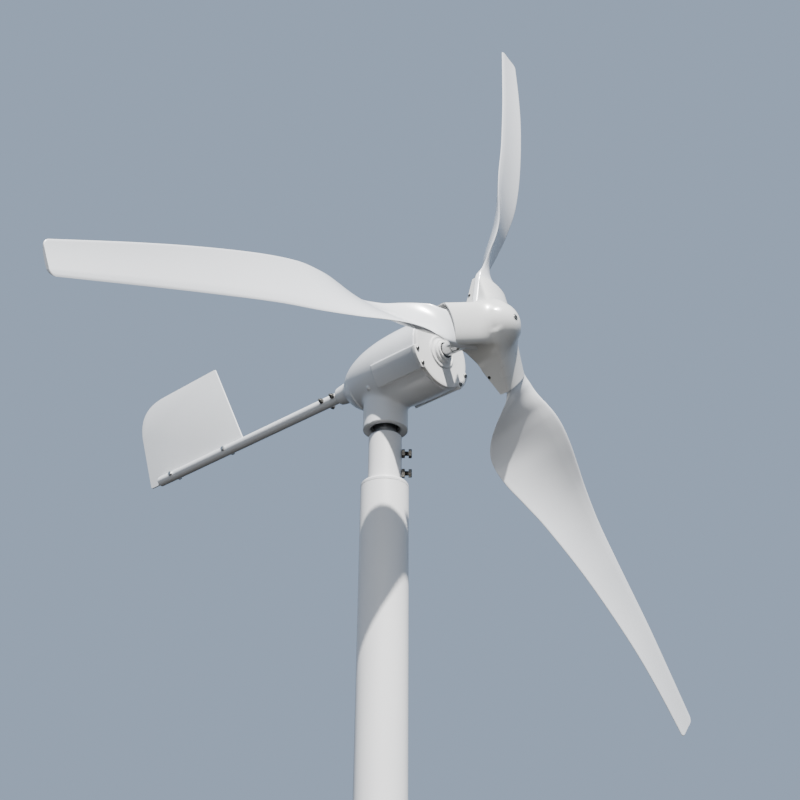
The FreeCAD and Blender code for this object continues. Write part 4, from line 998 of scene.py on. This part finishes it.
def make_hub_fasteners():
    for node, flats, thick, bore, name in (("blade_bolts", 10.0, 4.0, 0.0, "root_hex_bolts"),
                                           ("blade_nuts", 10.0, 5.0, 2.95, "root_hex_nuts")):
        parts = []
        for cloud in islands(node):
            front, back = line_of(cloud, (0, 1, 0))
            if bore:
                parts.append(aimed(hexagon(flats, thick, bore, True), front, (0, 1, 0), 0.3))
            else:
                parts.append(aimed(hexagon(flats, thick), front + np.array((0, thick, 0)), (0, -1, 0), 0.2))
                parts.append(aimed(thread(3.0, 0.0, back[1] - front[1] - thick, 1.0),
                                   front + np.array((0, thick, 0)), (0, 1, 0)))
        mesh = mesh_of(name, [(from_foot(spots), faces) for spots, faces in parts])
        finished(name, mesh, zinc, "rotor", (node,), 28.0)


# ---------------------------------------------------------------- tail

VANE_TOP_FRONT = 470.0
VANE_TOP_REAR = 726.0
VANE_FOOT_REAR = 640.0
VANE_CORNER = 60.0
VANE_HALF = 1.5
VANE_EDGE = 0.8
BOOM_WALL = 2.0


def extruded(outline, half, edge):
    """A plate in the YZ plane from an outline, with rounded edges."""
    spots = []
    count = len(outline)
    outline = np.array(outline)
    ahead = np.roll(outline, -1, axis=0) - outline
    behind = outline - np.roll(outline, 1, axis=0)
    tangent = ahead / np.linalg.norm(ahead, axis=1)[:, None]
    tangent = tangent + behind / np.linalg.norm(behind, axis=1)[:, None]
    tangent /= np.linalg.norm(tangent, axis=1)[:, None]
    inward = np.stack((tangent[:, 1], -tangent[:, 0]), 1)
    following = np.roll(outline, -1, axis=0)
    if np.sum(outline[:, 0] * following[:, 1] - following[:, 0] * outline[:, 1]) > 0:
        inward = -inward
    rows = []
    for k in range(7):
        angle = math.pi * k / 6
        rows.append(((half - edge) * np.sign(math.cos(angle)) * (1 if k != 3 else 0) + edge * math.cos(angle),
                     edge * (1 - math.sin(angle))))
    for x, inset in rows:
        ring_points = outline + inward * inset
        spots.extend((x, y, z) for y, z in ring_points)
    faces = []
    for i in range(len(rows) - 1):
        for k in range(count):
            m = (k + 1) % count
            faces.append((i * count + k, i * count + m, (i + 1) * count + m, (i + 1) * count + k))
    faces.append(tuple(range(count)))
    faces.append(tuple(reversed(range((len(rows) - 1) * count, len(rows) * count))))
    return spots, faces


def make_vane():
    low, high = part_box("tail_vane")
    foot = low[2] / MM - AXIS_Z
    top = high[2] / MM - AXIS_Z
    corners = [
        (VANE_FRONT, foot, 1.5), (VANE_TOP_FRONT, top, 5.0), (VANE_TOP_REAR, top, VANE_CORNER),
        (VANE_FOOT_REAR, foot, 7.0),
    ]
    spots, faces = extruded(rounded(corners, 12), VANE_HALF, VANE_EDGE)
    mesh = mesh_of("vane_plate", [(about_axis(spots), faces)])
    finished("vane_plate", mesh, sheet_paint, "yaw_head", ("tail_vane",), 40.0)


def make_boom():
    inner = BOOM_RADIUS - BOOM_WALL
    corners = [(inner, BOOM_FRONT, 0.4), (BOOM_RADIUS, BOOM_FRONT, 0.6), (BOOM_RADIUS, BOOM_REAR, 0.6),
               (inner, BOOM_REAR, 0.4)]
    spots, faces = lathe(corners, "Y", 64)
    spots = np.asarray(spots) + np.array((0, 0, TAIL_RISE))
    mesh = mesh_of("tail_tube", [(about_axis(spots), faces)])
    finished("tail_tube", mesh, paint, "yaw_head", ("tail_boom",), 30.0)


def make_tail_fasteners():
    for label, material, slot in (("boom", dark_steel, "dark_steel"), ("vane", zinc, "zinc_steel")):
        side = 1.0 if label == "boom" else -1.0
        bolts = []
        nuts = []
        for k, cloud in enumerate(islands(label + "_bolts")):
            low, high = line_of(cloud, (1, 0, 0))
            head = high if side > 0 else low
            tail = low if side > 0 else high
            direction = np.array((side, 0, 0))
            bolts.append(aimed(hexagon(8.0, 3.8), head - direction * 3.8, direction, 0.2 + 0.4 * k))
            bolts.append(aimed(thread(2.5, 0.0, abs(head[0] - tail[0]) - 3.6, 0.8), head - direction * 3.6,
                               -direction))
        for k, cloud in enumerate(islands(label + "_nuts")):
            low, high = line_of(cloud, (1, 0, 0))
            nuts.append(aimed(hexagon(8.0, high[0] - low[0], 2.4, True), low, (1, 0, 0), 0.3 + 0.5 * k))
        for name, parts in (("bolts", bolts), ("nuts", nuts)):
            mesh = mesh_of("%s_hex_%s" % (label, name), [(from_foot(s), f) for s, f in parts])
            finished("%s_hex_%s" % (label, name), mesh, material, "yaw_head",
                     ("%s_%s" % (label, name),), 28.0)


# ---------------------------------------------------------------- carried-over CAD nodes

def dress_cad_nodes():
    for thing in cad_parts.values():
        for part in thing.material_slots:
            slot = part.material.name.split(".")[0] if part.material else ""
            part.material = SLOT_MATERIALS.get(slot, alloy)


# ---------------------------------------------------------------- stage

CAMERA_SPOT = (-1.18758, -1.13707, 0.02334)
CAMERA_YAW = -0.821271
CAMERA_PITCH = 0.5172305
CAMERA_ROLL = 0.0066195
CAMERA_LENS = 51.866
LAMP_COLOUR = (1.0, 0.985, 0.96)
KEY_FROM = (-1.344, -2.032, 3.2)
FILL_FROM = (-3.2, -2.2, -0.4)
SKY_BELOW = (0.05, 0.049, 0.047)
SKY_ABOVE = (0.33, 0.42, 0.56)
FLOOR_HALF = 1500.0


def make_camera():
    data = bpy.data.cameras.new("camera")
    data.lens = CAMERA_LENS
    data.sensor_width = 36.0
    data.clip_start = 0.01
    camera = bpy.data.objects.new("camera", data)
    bpy.context.scene.collection.objects.link(camera)
    forward = Vector((-math.sin(CAMERA_YAW) * math.cos(CAMERA_PITCH),
                      math.cos(CAMERA_YAW) * math.cos(CAMERA_PITCH), math.sin(CAMERA_PITCH)))
    right = Vector((math.cos(CAMERA_YAW), math.sin(CAMERA_YAW), 0.0))
    up = right.cross(forward)
    rolled = right * math.cos(CAMERA_ROLL) + up * math.sin(CAMERA_ROLL)
    up = up * math.cos(CAMERA_ROLL) - right * math.sin(CAMERA_ROLL)
    turn = Matrix((rolled, up, -forward)).transposed()
    camera.matrix_world = Matrix.Translation(CAMERA_SPOT) @ turn.to_4x4()
    bpy.context.scene.camera = camera


def make_light(name, direction, power, angle):
    """A distant lamp that shines from a direction, with an angular size."""
    data = bpy.data.lights.new(name, "SUN")
    data.energy = power
    data.color = LAMP_COLOUR
    data.angle = angle
    lamp = bpy.data.objects.new(name, data)
    bpy.context.scene.collection.objects.link(lamp)
    aim = Vector(direction)
    lamp.location = Vector((0, 0, 1)) + aim
    lamp.rotation_euler = aim.to_track_quat("Z", "Y").to_euler()


def make_stage():
    world = bpy.data.worlds.new("studio")
    bpy.context.scene.world = world
    world.use_nodes = True
    tree = world.node_tree
    back = tree.nodes["Background"]
    coords = tree.nodes.new("ShaderNodeTexCoord")
    split = tree.nodes.new("ShaderNodeSeparateXYZ")
    tree.links.new(coords.outputs["Generated"], split.inputs["Vector"])
    sky = ramp(tree, split.outputs["Z"], 0.0, 0.04, SKY_BELOW, SKY_ABOVE)
    tree.links.new(sky, back.inputs["Color"])
    back.inputs["Strength"].default_value = 1.0
    mesh = bpy.data.meshes.new("floor")
    corners = [(FLOOR_HALF * x, FLOOR_HALF * y, 0) for x, y in ((-1, -1), (1, -1), (1, 1), (-1, 1))]
    mesh.from_pydata(corners, [], [(0, 1, 2, 3)])
    floor = bpy.data.objects.new("floor", mesh)
    floor.location.z = -0.0005
    finish = finish_material("floor_finish", (0.42, 0.43, 0.44), (0.40, 0.41, 0.42), 0.8, patch=1.5)
    mesh.materials.append(finish)
    bpy.context.scene.collection.objects.link(floor)
    floor.visible_diffuse = False
    floor.visible_glossy = False
    floor.visible_shadow = False
    make_light("key", KEY_FROM, 11.0, 0.02)
    make_light("fill", FILL_FROM, 0.9, 1.0)


make_camera()
make_stage()
dress_cad_nodes()
make_mast()
make_neck()
make_clamp_bolts()
make_nacelle()
make_cover()
make_cover_screws()
make_shaft_parts()
make_hub_fasteners()
make_nose()
make_nose_screw()
make_side_screws()
make_blades()
make_boom()
make_vane()
make_tail_fasteners()
